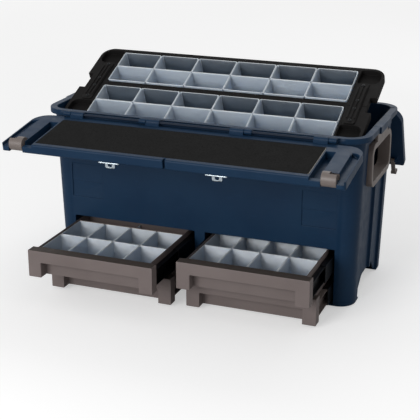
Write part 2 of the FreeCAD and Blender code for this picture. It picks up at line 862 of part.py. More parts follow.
def drawer(name, side, bottom):
    """A drawer moulding: front with legs and finger grip, and an open box behind it."""
    tag = name.title().replace("_", "")
    centre = f"{side} * bay_centre"
    face = f"-(closed_face + pull_{name})"
    half_panel, half_box = "panel_width / 2", "drawer_width / 2"

    def across(low, high):
        return f"{centre} + ({low})", f"{centre} + ({high})"

    def along(low, high):
        return f"{face} + ({low})", f"{face} + ({high})"

    band = block(
        f"{tag}Band",
        across(f"-{half_panel}", half_panel),
        along("0", "panel_depth"),
        (f"{bottom} + panel_height - band_height", f"{bottom} + panel_height"),
    )
    grip = block(
        f"{tag}Grip",
        across(f"-{half_panel} + leg_width", f"{half_panel} - leg_width"),
        along("band_skin", "panel_depth - band_skin"),
        (f"{bottom}", f"{bottom} + panel_height - band_skin"),
    )
    legs = [
        block(
            f"{tag}Leg{number}",
            across(low, high),
            along("0", "panel_depth"),
            (bottom, f"{bottom} + panel_height"),
        )
        for number, (low, high) in enumerate(
            ((f"-{half_panel}", f"-{half_panel} + leg_width"), (f"{half_panel} - leg_width", half_panel))
        )
    ]
    tub = block(
        f"{tag}Tub",
        across(f"-{half_box}", half_box),
        along("panel_depth", "drawer_length"),
        (bottom, f"{bottom} + panel_height"),
    )
    hollow = block(
        f"{tag}Hollow",
        across(f"-{half_box} + drawer_wall", f"{half_box} - drawer_wall"),
        along("panel_depth + drawer_wall", "drawer_length - drawer_wall"),
        (f"{bottom} + drawer_wall", f"{bottom} + panel_height + 1"),
    )
    box = cut(f"{tag}Box", fuse(f"{tag}Solid", band, *legs, tub), grip, hollow)
    divider_place = "(strip_wall_start + drawer_wall + drawer_length - drawer_wall) / 2"
    if name.startswith("upper"):
        strip_wall = block(
            f"{tag}StripWall",
            across(f"-{half_box} + 1", f"{half_box} - 1"),
            along("strip_wall_start", "strip_wall_start + drawer_wall"),
            (f"{bottom} + 1", f"{bottom} + panel_height - 2"),
        )
        box = fuse(f"{tag}Moulding", box, strip_wall)
        divider = block(
            f"{tag}Divider",
            across("-divider_thickness / 2", "divider_thickness / 2"),
            along(
                "strip_wall_start + drawer_wall + seat_gap",
                "drawer_length - drawer_wall - seat_gap",
            ),
            (f"{bottom} + drawer_wall + seat_gap", f"{bottom} + drawer_wall + divider_height"),
        )
    else:
        divider = block(
            f"{tag}Divider",
            across(f"-{half_box} + drawer_wall + seat_gap", f"{half_box} - drawer_wall - seat_gap"),
            along(f"{divider_place} / 2", f"{divider_place} / 2 + divider_thickness"),
            (f"{bottom} + drawer_wall + seat_gap", f"{bottom} + drawer_wall + divider_height"),
        )
    node(box, f"drawer_{name}")
    node(divider, f"divider_{name}")


def channel(name, back, front, middle, half_height, gauge, low, high):
    """A channel section along Y. The web stands at back and the flanges reach to front."""
    outer = block(
        name + "Outer",
        (f"min({back}; {front})", f"max({back}; {front})"),
        (low, high),
        (f"{middle} - ({half_height})", f"{middle} + ({half_height})"),
    )
    sign = f"(({front}) > ({back}) ? 1 : -1)"
    start = f"{back} + {sign} * {gauge}"
    end = f"{front} + {sign} * 1"
    inner = block(
        name + "Inner",
        (f"min({start}; {end})", f"max({start}; {end})"),
        (f"{low} - 1", f"{high} + 1"),
        (f"{middle} - ({half_height} - {gauge})", f"{middle} + ({half_height} - {gauge})"),
    )
    return cut(name, outer, inner)


def runners(name, side, bottom):
    """Telescopic runners of a drawer: channels on the bay walls, between, and on the drawer."""
    tag = name.title().replace("_", "")
    middle = f"{bottom} + panel_height / 2"
    pull = f"pull_{name}"
    half = "runner_height / 2"
    members = (
        ("outer", "bay_half - seat_gap", f"bay_half - seat_gap - runner_thickness + runner_play", "0", half),
        (
            "middle",
            "bay_half - seat_gap - track",
            "bay_half - seat_gap - runner_thickness + runner_play",
            f"{pull} / 2",
            f"{half} - track",
        ),
        (
            "inner",
            "drawer_width / 2 + seat_gap",
            "bay_half - seat_gap - 2 * track",
            pull,
            f"{half} - 2 * track",
        ),
    )
    for member, back, front, shift, half_height in members:
        low = f"-closed_face + runner_start - {shift}"
        pair = [
            channel(
                f"{tag}{member.title()}{number}",
                f"{side} * bay_centre + {turn} * ({back})",
                f"{side} * bay_centre + {turn} * ({front})",
                middle,
                half_height,
                "runner_gauge",
                low,
                f"{low} + runner_length",
            )
            for number, turn in enumerate((-1, 1))
        ]
        node(group(f"{tag}{member.title()}", pair), f"runner_{member}_{name}")


# Loose bins


def cup(name, length, depth, height):
    """An open bin with tapered sides. Its top lies at zero and its middle on the Z axis."""
    wide, deep = f"(({length}) - cup_gap) / 2", f"(({depth}) - cup_gap) / 2"
    solids = []
    for part, inset, floor, radius in (
        ("Outer", "0", height, "cup_radius"),
        ("Inner", "cup_wall", f"{height} - cup_wall", "cup_radius - cup_wall"),
    ):
        solids.append(
            plan_loft(
                name + part,
                rounded_plan(
                    f"{name}{part}Foot",
                    f"{wide} - {inset} - cup_taper",
                    f"{deep} - {inset} - cup_taper",
                    radius,
                    f"-({floor})",
                ),
                rounded_plan(
                    f"{name}{part}Top",
                    f"{wide} - {inset}",
                    f"{deep} - {inset}",
                    radius,
                    "0",
                ),
            )
        )
    return cut(name, *solids)


def drawer_bins(bin_body):
    """Two rows of four bins in each upper drawer."""
    for name, side, bottom in DRAWERS[:2]:
        for row, label in enumerate(("front", "rear")):
            copies = [
                copy_at(
                    f"{name}_{label}_{column}",
                    bin_body,
                    x=f"{side} * bay_centre + ({column} - 1.5) * drawer_cup_length",
                    y=f"-(closed_face + pull_{name}) + cups_start + ({row} + 0.5) * drawer_cup_depth",
                    z=f"{bottom} + drawer_wall + seat_gap + drawer_cup_height",
                )
                for column in range(4)
            ]
            node(group(f"{name}_{label}", copies), f"bins_{name}_{label}")


TRAY_PLACE = (
    "placement(vector(0; tray_pivot_y; tray_pivot_z); rotation(vector(1; 0; 0); tray_tilt))"
)


def tray_bins(bin_body):
    """Two rows of six bins in each tray."""
    for tray in ("front", "rear"):
        for row, label in enumerate(("front", "rear")):
            copies = [
                copy_at(
                    f"{tray}_tray_{label}_{column}",
                    bin_body,
                    x=f"({column} - 2.5) * tray_cup_length",
                    y=f"{tray}_cups_start + ({row} + 0.5) * tray_cup_depth",
                    z="tray_top",
                )
                for column in range(6)
            ]
            node(group(f"{tray}_tray_{label}", copies), f"bins_{tray}_tray_{label}", TRAY_PLACE)


# Tray frame


def tray(name):
    """A long tray: a trough for the bins, a deck with a skirt, and finger grips at its ends."""
    tag = f"{name.title()}Tray"
    front = name == "front"
    start, end = (
        ("tray_front_edge", "tray_joint - tray_joint_gap / 2")
        if front
        else ("tray_joint + tray_joint_gap / 2", "tray_rear_edge")
    )
    waist = "waist_start" if front else "waist_end"
    wide, narrow = "tray_half_width", "tray_waist"

    def outline(inset):
        broad, slim = f"{wide} - {inset}", f"{narrow} - {inset}"
        low, high = f"{start} + {inset}", f"{end} - {inset}"
        if front:
            step = f"{waist} - {inset}"
            return [
                (f"-({broad})", low),
                (broad, low),
                (broad, step),
                (slim, step),
                (slim, high),
                (f"-({slim})", high),
                (f"-({slim})", step),
                (f"-({broad})", step),
            ]
        step = f"{waist} + {inset}"
        return [
            (f"-({slim})", low),
            (slim, low),
            (slim, step),
            (broad, step),
            (broad, high),
            (f"-({broad})", high),
            (f"-({broad})", step),
            (f"-({slim})", step),
        ]

    outer_corners = (0, 1) if front else (4, 5)
    deck = prism(
        tag + "Deck",
        "xy",
        outline("0"),
        "tray_deck - skirt_depth",
        "tray_deck",
        [(outer_corners, "tray_corner")],
    )
    under = prism(
        tag + "Under",
        "xy",
        outline("tray_wall"),
        "tray_deck - skirt_depth - 1",
        "tray_deck - deck_thickness",
        [(outer_corners, "tray_corner - tray_wall")],
    )
    first = f"{name}_cups_start - 0.5"
    last = f"{name}_cups_start + 2 * tray_cup_depth + 0.5"
    trough = block(
        tag + "Trough",
        ("-(trough_half + tray_wall)", "trough_half + tray_wall"),
        (f"{first} - tray_wall", f"{last} + tray_wall"),
        ("tray_floor - tray_wall", "tray_deck"),
    )
    hollow = block(
        tag + "Hollow",
        ("-trough_half", "trough_half"),
        (first, last),
        ("tray_floor", "tray_top + 1"),
    )
    grip_low, grip_high = f"{name}_grip_start", f"{name}_grip_start + grip_length"
    grip_wall = prism(
        tag + "GripWall",
        "xy",
        rectangle(
            "grip_inner - tray_wall",
            "grip_outer + tray_wall",
            f"{grip_low} - tray_wall",
            f"{grip_high} + tray_wall",
        ),
        "tray_deck - grip_depth",
        "tray_deck",
        [((1, 2), "grip_radius + tray_wall"), ((0, 3), "grip_inner_radius + tray_wall")],
    )
    grip = prism(
        tag + "Grip",
        "xy",
        rectangle("grip_inner", "grip_outer", grip_low, grip_high),
        "tray_deck - grip_depth + tray_wall",
        "tray_deck + 1",
        [((1, 2), "grip_radius"), ((0, 3), "grip_inner_radius")],
    )
    pieces = [cut(tag + "Shell", deck, under), trough, both(tag + "GripWalls", grip_wall)]
    holes = [hollow, both(tag + "Grips", grip)]
    if front:
        boss = rod(
            tag + "Boss",
            "x",
            ("0", "0"),
            "tray_half_width - pivot_boss_length",
            "tray_half_width",
            "pivot_boss_radius",
        )
        pin_hole = rod(
            tag + "PinHole",
            "x",
            ("0", "0"),
            "tray_half_width - pivot_boss_length - 1",
            "tray_half_width + 1",
            "pivot_radius + fit_clearance",
        )
        keep = block(
            tag + "BossKeep",
            ("tray_half_width - pivot_boss_length - 1", "tray_half_width + 1"),
            ("-pivot_boss_radius", "pivot_boss_radius"),
            ("-pivot_boss_radius", "tray_deck - 0.5"),
        )
        pieces.append(both(tag + "Bosses", common(tag + "BossFitted", boss, keep)))
        holes.append(both(tag + "PinHoles", pin_hole))
    holes += [
        rod(
            f"{tag}Screw{number}",
            "z",
            (f"{side} * {BAR_MIDDLE}", place),
            "tray_deck - deck_thickness - 1",
            "tray_deck + 1",
            "screw_radius + fit_clearance",
        )
        for number, (side, place) in enumerate(
            (side, place) for side in (-1, 1) for place in SCREWS[name]
        )
    ]
    node(cut(tag, fuse(tag + "Solid", *pieces), *holes), f"tray_{name}", TRAY_PLACE)


BAR_MIDDLE = "(bar_inner + bar_outer) / 2"
SCREWS = {
    "front": ("bar_start + 8", "tray_joint - 12"),
    "rear": ("tray_joint + 12", "bar_end - 8"),
}


def link_bars():
    """Two ribbed bars that join the trays into one frame, and their screws."""
    bar = prism(
        "LinkBarPlate",
        "xy",
        rectangle("bar_inner", "bar_outer", "bar_start", "bar_end"),
        "tray_deck",
        "tray_deck + bar_thickness",
        [((0, 1, 2, 3), "(bar_outer - bar_inner) / 4")],
    )
    ridges = [
        block(
            f"LinkBarRidge{number}",
            (f"{place} - bar_ridge_width / 2", f"{place} + bar_ridge_width / 2"),
            ("bar_start + 14", "bar_end - 14"),
            ("tray_deck + bar_thickness - 0.5", "tray_deck + bar_thickness + bar_ridge"),
        )
        for number, place in enumerate(
            ("bar_inner + bar_ridge_width", BAR_MIDDLE, "bar_outer - bar_ridge_width")
        )
    ]
    places = SCREWS["front"] + SCREWS["rear"]
    holes = [
        rod(
            f"LinkBarHole{number}",
            "z",
            (BAR_MIDDLE, place),
            "tray_deck - 1",
            "tray_deck + bar_thickness + bar_ridge + 1",
            radius,
        )
        for number, (place, radius) in enumerate(
            [(place, "screw_radius + fit_clearance") for place in places]
        )
    ]
    counterbores = [
        rod(
            f"LinkBarBore{number}",
            "z",
            (BAR_MIDDLE, place),
            "tray_deck + bar_thickness",
            "tray_deck + bar_thickness + bar_ridge + 1",
            "screw_head + seat_gap",
        )
        for number, place in enumerate(places)
    ]
    right = cut("LinkBar", fuse("LinkBarSolid", bar, *ridges), *holes, *counterbores)
    node(right, "link_bar_right", TRAY_PLACE)
    left = mirrored("LinkBarLeftShape", cut("LinkBarCopy", fuse("LinkBarTwin", bar, *ridges), *holes, *counterbores))
    node(left, "link_bar_left", TRAY_PLACE)
    screws = []
    for number, place in enumerate(places):
        head = rod(
            f"ScrewHead{number}",
            "z",
            (BAR_MIDDLE, place),
            "tray_deck + bar_thickness",
            "tray_deck + bar_thickness + screw_head_height",
            "screw_head",
        )
        shank = rod(
            f"ScrewShank{number}",
            "z",
            (BAR_MIDDLE, place),
            "tray_deck + bar_thickness - screw_length",
            "tray_deck + bar_thickness + 0.5",
            "screw_radius",
        )
        screws.append(fuse(f"Screw{number}", head, shank))
    right_side = group("ScrewsRight", screws)
    all_screws = group("LinkBarScrews", [right_side, mirrored("ScrewsLeft", right_side)])
    node(all_screws, "link_bar_screws", TRAY_PLACE)


# Lids

LID_PLACES = {
    "front": "placement(vector(0; -hinge_y; hinge_z); rotation(vector(1; 0; 0); front_lid_open))",
    "rear": (
        "placement(vector(0; hinge_y; hinge_z); "
        "rotation(vector(1; 0; 0); -rear_lid_open) * rotation(vector(0; 0; 1); 180))"
    ),
}


def lid_shell(name):
    """Half a lid, modelled shut: hollow slab, deck with arms and pockets, hinge knuckles."""
    tag = f"{name.title()}Lid"
    half, start, end = "lid_half_width", "lid_start", "lid_length"
    plan = prism(
        tag + "Plan",
        "xy",
        rectangle(f"-{half}", half, start, end),
        "lid_deck",
        "lid_top",
        [((0, 1), "lid_corner"), ((2, 3), "lid_skin * 2")],
    )
    section = prism(
        tag + "Section",
        "yz",
        [
            (start, "lid_seat"),
            ("deck_start", "lid_seat"),
            ("deck_start", "lid_deck"),
            (end, "lid_deck"),
            (end, "lid_top"),
            (start, "lid_top"),
        ],
        f"-{half}",
        half,
        [((5,), "lid_roll - 0.6"), ((3, 4), "lid_skin")],
    )
    seat_side = block(
        tag + "SeatSide",
        ("arm_outer", f"{half} + 1"),
        (f"{start} - 1", f"{end} + 1"),
        ("lid_deck - 1", "lid_seat"),
    )
    deck_corner = cut(
        tag + "DeckCorner",
        block(
            tag + "DeckCornerBlock",
            ("arm_outer - deck_radius", f"{half} + 1"),
            ("deck_start - 1", "deck_start + deck_radius"),
            ("lid_deck - 1", "lid_seat"),
        ),
        rod(
            tag + "DeckCornerRod",
            "z",
            ("arm_outer - deck_radius", "deck_start + deck_radius"),
            "lid_deck - 2",
            "lid_seat + 1",
            "deck_radius",
        ),
    )
    valley = prism(
        tag + "Valley",
        "xy",
        rectangle("arm_outer", "valley_outer", "deck_start + 8", f"{end} + 1"),
        "lid_deck - 1",
        "valley_depth",
        [((1,), "valley_outer - arm_outer - 2")],
    )
    pocket = block(
        tag + "Pocket",
        ("pocket_inner", "pocket_outer"),
        ("pocket_start", "mat_end"),
        ("lid_deck - 1", "lid_top - lid_skin"),
    )
    step = block(
        tag + "BandStep",
        ("pocket_inner", "arm_outer - 1"),
        ("mat_end - 1", f"{end} + 1"),
        ("lid_deck - 1", "lid_deck + band_drop"),
    )
    mat_bed = block(
        tag + "MatBed",
        ("-mat_half_width - seat_gap", "mat_half_width + seat_gap"),
        ("mat_start - seat_gap", "mat_end + seat_gap"),
        ("lid_deck - 1", "lid_deck + mat_thickness"),
    )
    cavity = block(
        tag + "Cavity",
        ("-mat_half_width + mat_ledge", "mat_half_width - mat_ledge"),
        ("mat_start + mat_ledge", "mat_end - mat_ledge"),
        ("lid_deck", "lid_top - lid_skin"),
    )
    arm_hollow = block(
        tag + "ArmHollow",
        ("pocket_outer + lid_skin", "arm_outer - lid_skin"),
        ("pocket_start", "cap_along - cap_radius - lid_skin"),
        ("lid_deck + lid_skin", "lid_top - lid_skin"),
    )
    ribs = [
        block(
            f"{tag}Rib{number}",
            (f"{number} * lid_rib_pitch - lid_skin / 2", f"{number} * lid_rib_pitch + lid_skin / 2"),
            ("mat_start + mat_ledge - 1", "mat_end - mat_ledge + 1"),
            ("lid_deck + mat_thickness", "lid_top - lid_skin + 1"),
        )
        for number in (-2, -1, 0, 1, 2)
    ]
    slot = block(
        tag + "Slot",
        ("-slot_half_width", "slot_half_width"),
        ("mat_end + 3", f"{end} + 1"),
        ("lid_deck - 1", "lid_top + 1"),
    )
    slab = common(tag + "Slab", plan, section)
    sides = fuse(tag + "SideCut", seat_side, deck_corner, valley, pocket, step)
    body = cut(tag + "Body", slab, both(tag + "SideCuts", sides), mat_bed, cavity)
    pieces = [body, *ribs]
    for number, (low, high) in enumerate(hinge_stations("knuckle_width", "ear_width - knuckle_gap")):
        barrel = rod(f"{tag}Barrel{number}", "x", ("0", "0"), low, high, "hinge_barrel_radius")
        web = block(f"{tag}Web{number}", (low, high), ("-2", "7.2"), ("0", "7"))
        keep = block(f"{tag}WebKeep{number}", (low, high), ("-2", "7.2"), ("0", "lid_seat + 2"))
        knuckle = fuse(f"{tag}Knuckle{number}", barrel, common(f"{tag}Web{number}Fitted", web, keep))
        pieces.append(both(f"{tag}Knuckles{number}", knuckle))
    holes = [
        rod(f"{tag}PinHole", "x", ("0", "0"), f"-{half}", half, "hinge_pin_radius + fit_clearance"),
        slot,
        both(tag + "ArmHollows", arm_hollow),
    ]
    if name == "front":
        seat = block(
            tag + "CapSeat",
            ("cap_inner - cap_fit", "cap_outer + cap_fit"),
            ("cap_along - cap_radius - cap_fit", f"{end} + 1"),
            ("lid_deck - 1", "lid_top + 1"),
        )
        holes.append(both(tag + "CapSeats", seat))
    return cut(tag, fuse(tag + "Solid", *pieces), *holes)


def lid(name):
    """A half lid with its mat."""
    place = LID_PLACES[name]
    node(lid_shell(name), f"{name}_lid_shell", place)
    mat = prism(
        f"{name.title()}Mat",
        "xy",
        rectangle("-mat_half_width", "mat_half_width", "mat_start", "mat_end"),
        "lid_deck",
        "lid_deck + mat_thickness - 0.05",
        [((0, 1, 2, 3), "mat_thickness")],
    )
    node(mat, f"{name}_lid_mat", place)


def keeper_caps():
    """Round keepers at the free corners of the front lid, notched for the catch clips."""
    drum = rod(
        "CapDrum",
        "x",
        ("cap_along", "cap_height"),
        "cap_inner",
        "cap_outer",
        "cap_radius",
    )
    notch = block(
        "CapNotch",
        ("cap_notch_inner", "cap_outer + 1"),
        ("cap_notch_start", "cap_notch_end"),
        ("-cap_radius", "cap_radius * 3"),
    )
    stem = block(
        "CapStem",
        ("cap_inner + 2", "cap_notch_inner - 2"),
        ("cap_along - cap_radius - cap_fit", "cap_along"),
        ("cap_height - 4", "cap_height + 4"),
    )
    body = cut("Cap", fuse("CapSolid", drum, stem), notch)
    node(body, "keeper_cap_right", LID_PLACES["front"])
    twin = cut("CapTwin", fuse("CapTwinSolid", drum, stem), notch)
    node(mirrored("CapLeft", twin), "keeper_cap_left", LID_PLACES["front"])


def padlock_staples():
    """Pressed steel staples under the free edge of the front lid, and their rivets."""
    rivets = []
    for side in ("left", "right"):
        tag = f"Staple{side.title()}"
        centre = f"staple_{side}"
        far = "lid_length - staple_inset"
        plate = prism(
            tag + "Plate",
            "xy",
            rectangle(
                f"{centre} - staple_plate_half",
                f"{centre} + staple_plate_half",
                f"{far} - staple_plate_depth",
                far,
            ),
            "lid_top",
            "lid_top + staple_gauge",
            [((0, 1, 2, 3), "staple_gauge")],
        )
        eye = prism(
            tag + "Eye",
            "xz",
            rectangle(
                f"{centre} - staple_half_width",
                f"{centre} + staple_half_width",
                "lid_top",
                "lid_top + staple_height",
            ),
            f"{far} - staple_plate_depth / 2 - staple_gauge / 2",
            f"{far} - staple_plate_depth / 2 + staple_gauge / 2",
            [((2, 3), "staple_half_width / 3")],
        )
        hole = rod(
            tag + "Hole",
            "y",
            (centre, "lid_top + staple_height - staple_hole - staple_gauge"),
            f"{far} - staple_plate_depth",
            far,
            "staple_hole",
        )
        rivet_holes = []
        for number, turn in enumerate((-1, 1)):
            place = (f"{centre} + {turn} * rivet_spread", f"{far} - staple_plate_depth / 2")
            rivet_holes.append(
                rod(
                    f"{tag}RivetHole{number}",
                    "z",
                    place,
                    "lid_top - 1",
                    "lid_top + staple_gauge + 1",
                    "rivet_radius + fit_clearance",
                )
            )
            head = rod(
                f"{tag}RivetHead{number}",
                "z",
                place,
                "lid_top + staple_gauge",
                "lid_top + staple_gauge + 1",
                "rivet_head",
            )
            shank = rod(
                f"{tag}RivetShank{number}",
                "z",
                place,
                "lid_top",
                "lid_top + staple_gauge + 0.5",
                "rivet_radius",
            )
            rivets.append(fuse(f"{tag}Rivet{number}", head, shank))
        staple = cut(tag, fuse(tag + "Solid", plate, eye), hole, *rivet_holes)
        node(staple, f"padlock_staple_{side}", LID_PLACES["front"])
    node(group("StapleRivets", rivets), "staple_rivets", LID_PLACES["front"])


def catch_clips():
    """Hooked clips on the rear lid that swing on short pins and grip the keepers."""
    middle = "(clip_inner + clip_outer) / 2"
    low, high = f"{middle} - clip_stem_half", f"{middle} + clip_stem_half"
    level = "lid_face + clip_barrel_radius"
    barrel = rod("ClipBarrel", "x", ("clip_pivot", level), low, high, "clip_barrel_radius")
    stem = block(
        "ClipStem",
        (low, high),
        ("clip_pivot", "clip_end"),
        ("lid_face", "lid_face + clip_gauge"),
    )
    foot = block(
        "ClipFoot",
        ("clip_inner", "clip_outer"),
        ("clip_end - clip_foot", "clip_end"),
        ("lid_face - clip_hook", "lid_face + clip_gauge"),
    )
    pin_hole = rod(
        "ClipHole",
        "x",
        ("clip_pivot", level),
        "clip_inner - 5",
        "clip_outer + 5",
        "clip_pin_radius + fit_clearance",
    )
    pin = rod(
        "ClipPin",
        "x",
        ("clip_pivot", level),
        f"{low} - clip_ear - seat_gap",
        f"{high} + clip_ear + seat_gap",
        "clip_pin_radius",
    )
    place = LID_PLACES["rear"]
    for side in ("left", "right"):
        solid = cut(f"Clip{side.title()}", fuse(f"ClipSolid{side}", barrel, stem, foot), pin_hole)
        piece = solid if side == "left" else mirrored("ClipMirrored", solid)
        node(piece, f"catch_clip_{side}", place)
    pins = group("ClipPins", [pin, mirrored("ClipPinTwin", pin)])
    node(pins, "clip_pins", place)
    ears = []
    for number, (start, end) in enumerate(
        ((f"{low} - clip_ear - seat_gap", f"{low} - seat_gap"), (f"{high} + seat_gap", f"{high} + clip_ear + seat_gap"))
    ):
        round_end = rod(
            f"ClipEarRound{number}", "x", ("clip_pivot", level), start, end, "clip_barrel_radius"
        )
        web = block(
            f"ClipEarWeb{number}",
            (start, end),
            ("clip_pivot - clip_barrel_radius", "clip_pivot + clip_barrel_radius"),
            ("lid_top", level),
        )
        bore = rod(
            f"ClipEarBore{number}",
            "x",
            ("clip_pivot", level),
            "clip_inner - 8",
            "clip_outer + 8",
            "clip_pin_radius + fit_clearance",
        )
        ears.append(cut(f"ClipEar{number}", fuse(f"ClipEarSolid{number}", round_end, web), bore))
    right_ears = group("ClipEarsRight", ears)
    brackets = group("ClipEars", [right_ears, mirrored("ClipEarsLeft", right_ears)])
    node(brackets, "clip_brackets", place)


def build():
    """Make every sub-part."""
    box_shell()
    well_floor()
    feet()
    handle_liner()
    hinge_pins()
    pivot_pins()
    for row in DRAWERS:
        drawer(*row)
        runners(*row)
    drawer_bins(cup("DrawerCup", "drawer_cup_length", "drawer_cup_depth", "drawer_cup_height"))
    tray_bins(cup("TrayCup", "tray_cup_length", "tray_cup_depth", "tray_cup_height"))
    tray("front")
    tray("rear")
    link_bars()
    lid("front")
    lid("rear")
    keeper_caps()
    padlock_staples()
    catch_clips()


def check():
    """Stop if any object failed or any sub-part is empty or invalid."""
    for item in document.Objects:
        if "Invalid" in item.State or "Error" in item.State:
            raise RuntimeError(f"{item.Name} failed: {item.State}")
    for item in nodes:
        shape = item.Shape
        if shape.isNull() or not shape.isValid() or not shape.Solids:
            raise RuntimeError(f"{item.Label} has no valid shape")


def export():
    """Write one STEP file for each sub-part."""
    os.makedirs("parts", exist_ok=True)
    for item in nodes:
        item.Shape.exportStep(f"parts/{item.Label}.step")
        print(f"{item.Label}: {len(item.Shape.Solids)} solids, {item.Shape.Volume / 1000:.1f} cm3")
    print(len(nodes), "sub-parts")


build()
document.recompute()
check()
export()
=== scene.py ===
import json
import logging
import math
from dataclasses import dataclass
from enum import Enum
from typing import Any, ClassVar

import bmesh
import bpy
import numpy as np
from mathutils import Matrix, Vector
from mathutils.bvhtree import BVHTree

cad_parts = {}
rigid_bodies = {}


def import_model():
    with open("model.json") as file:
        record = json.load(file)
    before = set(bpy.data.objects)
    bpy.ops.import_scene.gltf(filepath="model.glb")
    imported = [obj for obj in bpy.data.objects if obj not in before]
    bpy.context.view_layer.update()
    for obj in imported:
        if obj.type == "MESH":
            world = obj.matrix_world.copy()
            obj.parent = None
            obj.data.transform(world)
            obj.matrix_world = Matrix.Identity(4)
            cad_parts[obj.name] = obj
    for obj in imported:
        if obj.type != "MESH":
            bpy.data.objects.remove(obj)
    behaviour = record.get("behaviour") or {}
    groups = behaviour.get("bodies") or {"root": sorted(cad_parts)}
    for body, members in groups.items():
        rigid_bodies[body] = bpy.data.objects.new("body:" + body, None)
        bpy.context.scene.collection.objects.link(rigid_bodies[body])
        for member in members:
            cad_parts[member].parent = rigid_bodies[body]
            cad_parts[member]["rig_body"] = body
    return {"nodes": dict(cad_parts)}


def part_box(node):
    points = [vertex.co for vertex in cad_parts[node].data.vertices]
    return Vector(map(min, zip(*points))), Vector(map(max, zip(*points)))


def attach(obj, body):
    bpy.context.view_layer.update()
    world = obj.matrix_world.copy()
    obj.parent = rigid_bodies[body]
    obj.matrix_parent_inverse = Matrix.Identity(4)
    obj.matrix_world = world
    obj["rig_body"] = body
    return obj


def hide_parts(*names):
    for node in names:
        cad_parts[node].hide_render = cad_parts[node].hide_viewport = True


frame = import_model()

log = logging.getLogger("storage_box")
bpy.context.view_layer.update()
MM = 0.001
WHITE = "#FFFFFF"

# Nearly every value of a noise lies in this span.
NOISE_SPAN = {"From Min": 0.3, "From Max": 0.7}
# A colour Mix node shares its sockets' names with other kinds, so its sockets go by number.
SHARE, FIRST, SECOND, MIXED = 0, 6, 7, 2
# Polypropylene bends light this much, and the other plastics of the box do so nearly.
PLASTIC_IOR = 1.49

# Edges that turn by more than this many degrees are rounded.
CREASE = 38.0
# Corners of a node's loose triangles that lie closer than this, in metres, are one point.
WELD = 2e-6
ROUND_SEGMENTS = 2
# The middle of a rounded square edge lies this share of the radius from the solid at most.
ROUND_REACH = 0.3
# How much the large faces at a point count in its shading, where 50 is as much as the small.
FACE_WEIGHT = 90


def linear(code: str) -> tuple[float, float, float, float]:
    """Turn an sRGB hex colour into Blender's linear colour.

    Args:
        code: Six hex digits with a leading hash.

    Returns:
        Red, green, blue and alpha, each from 0 to 1.
    """
    parts = [int(code[i : i + 2], 16) / 255 for i in (1, 3, 5)]
    line = [c / 12.92 if c <= 0.04045 else ((c + 0.055) / 1.055) ** 2.4 for c in parts]
    return (line[0], line[1], line[2], 1.0)


def scale_of(spacing: float) -> float:
    """Scale of a pattern whose features stand this many millimetres apart."""
    return 1 / (spacing * MM)


class Graph:
    """A node tree that is filled one node at a time."""

    def __init__(self, tree: bpy.types.NodeTree) -> None:
        """Start from the tree with its nodes taken out."""
        self.tree = tree
        tree.nodes.clear()

    @classmethod
    def of_material(cls, name: str) -> tuple["Graph", bpy.types.Material]:
        """Make a new material and the graph of its nodes.

        Args:
            name: Name of the material.

        Returns:
            The empty graph and the material.
        """
        material = bpy.data.materials.new(name)
        material.use_nodes = True
        return cls(material.node_tree), material

    def add(
        self, kind: str, inputs: dict[str | int, Any] | None = None, **settings: Any
    ) -> bpy.types.Node:
        """Add a node, set its properties, and fill or link its inputs.

        Args:
            kind: Blender's name of the node, without its ShaderNode prefix.
            inputs: For an input's name or number: a number, numbers, a hex colour, a socket, or a
                node, which gives its first socket.
            settings: Plain properties of the node.

        Returns:
            The new node.
        """
        node = self.tree.nodes.new("ShaderNode" + kind)
        for key, value in settings.items():
            setattr(node, key, value)
        for key, value in (inputs or {}).items():
            if isinstance(value, bpy.types.Node):
                value = value.outputs[0]
            if isinstance(value, bpy.types.NodeSocket):
                self.tree.links.new(value, node.inputs[key])
            else:
                node.inputs[key].default_value = linear(value) if isinstance(value, str) else value
        return node


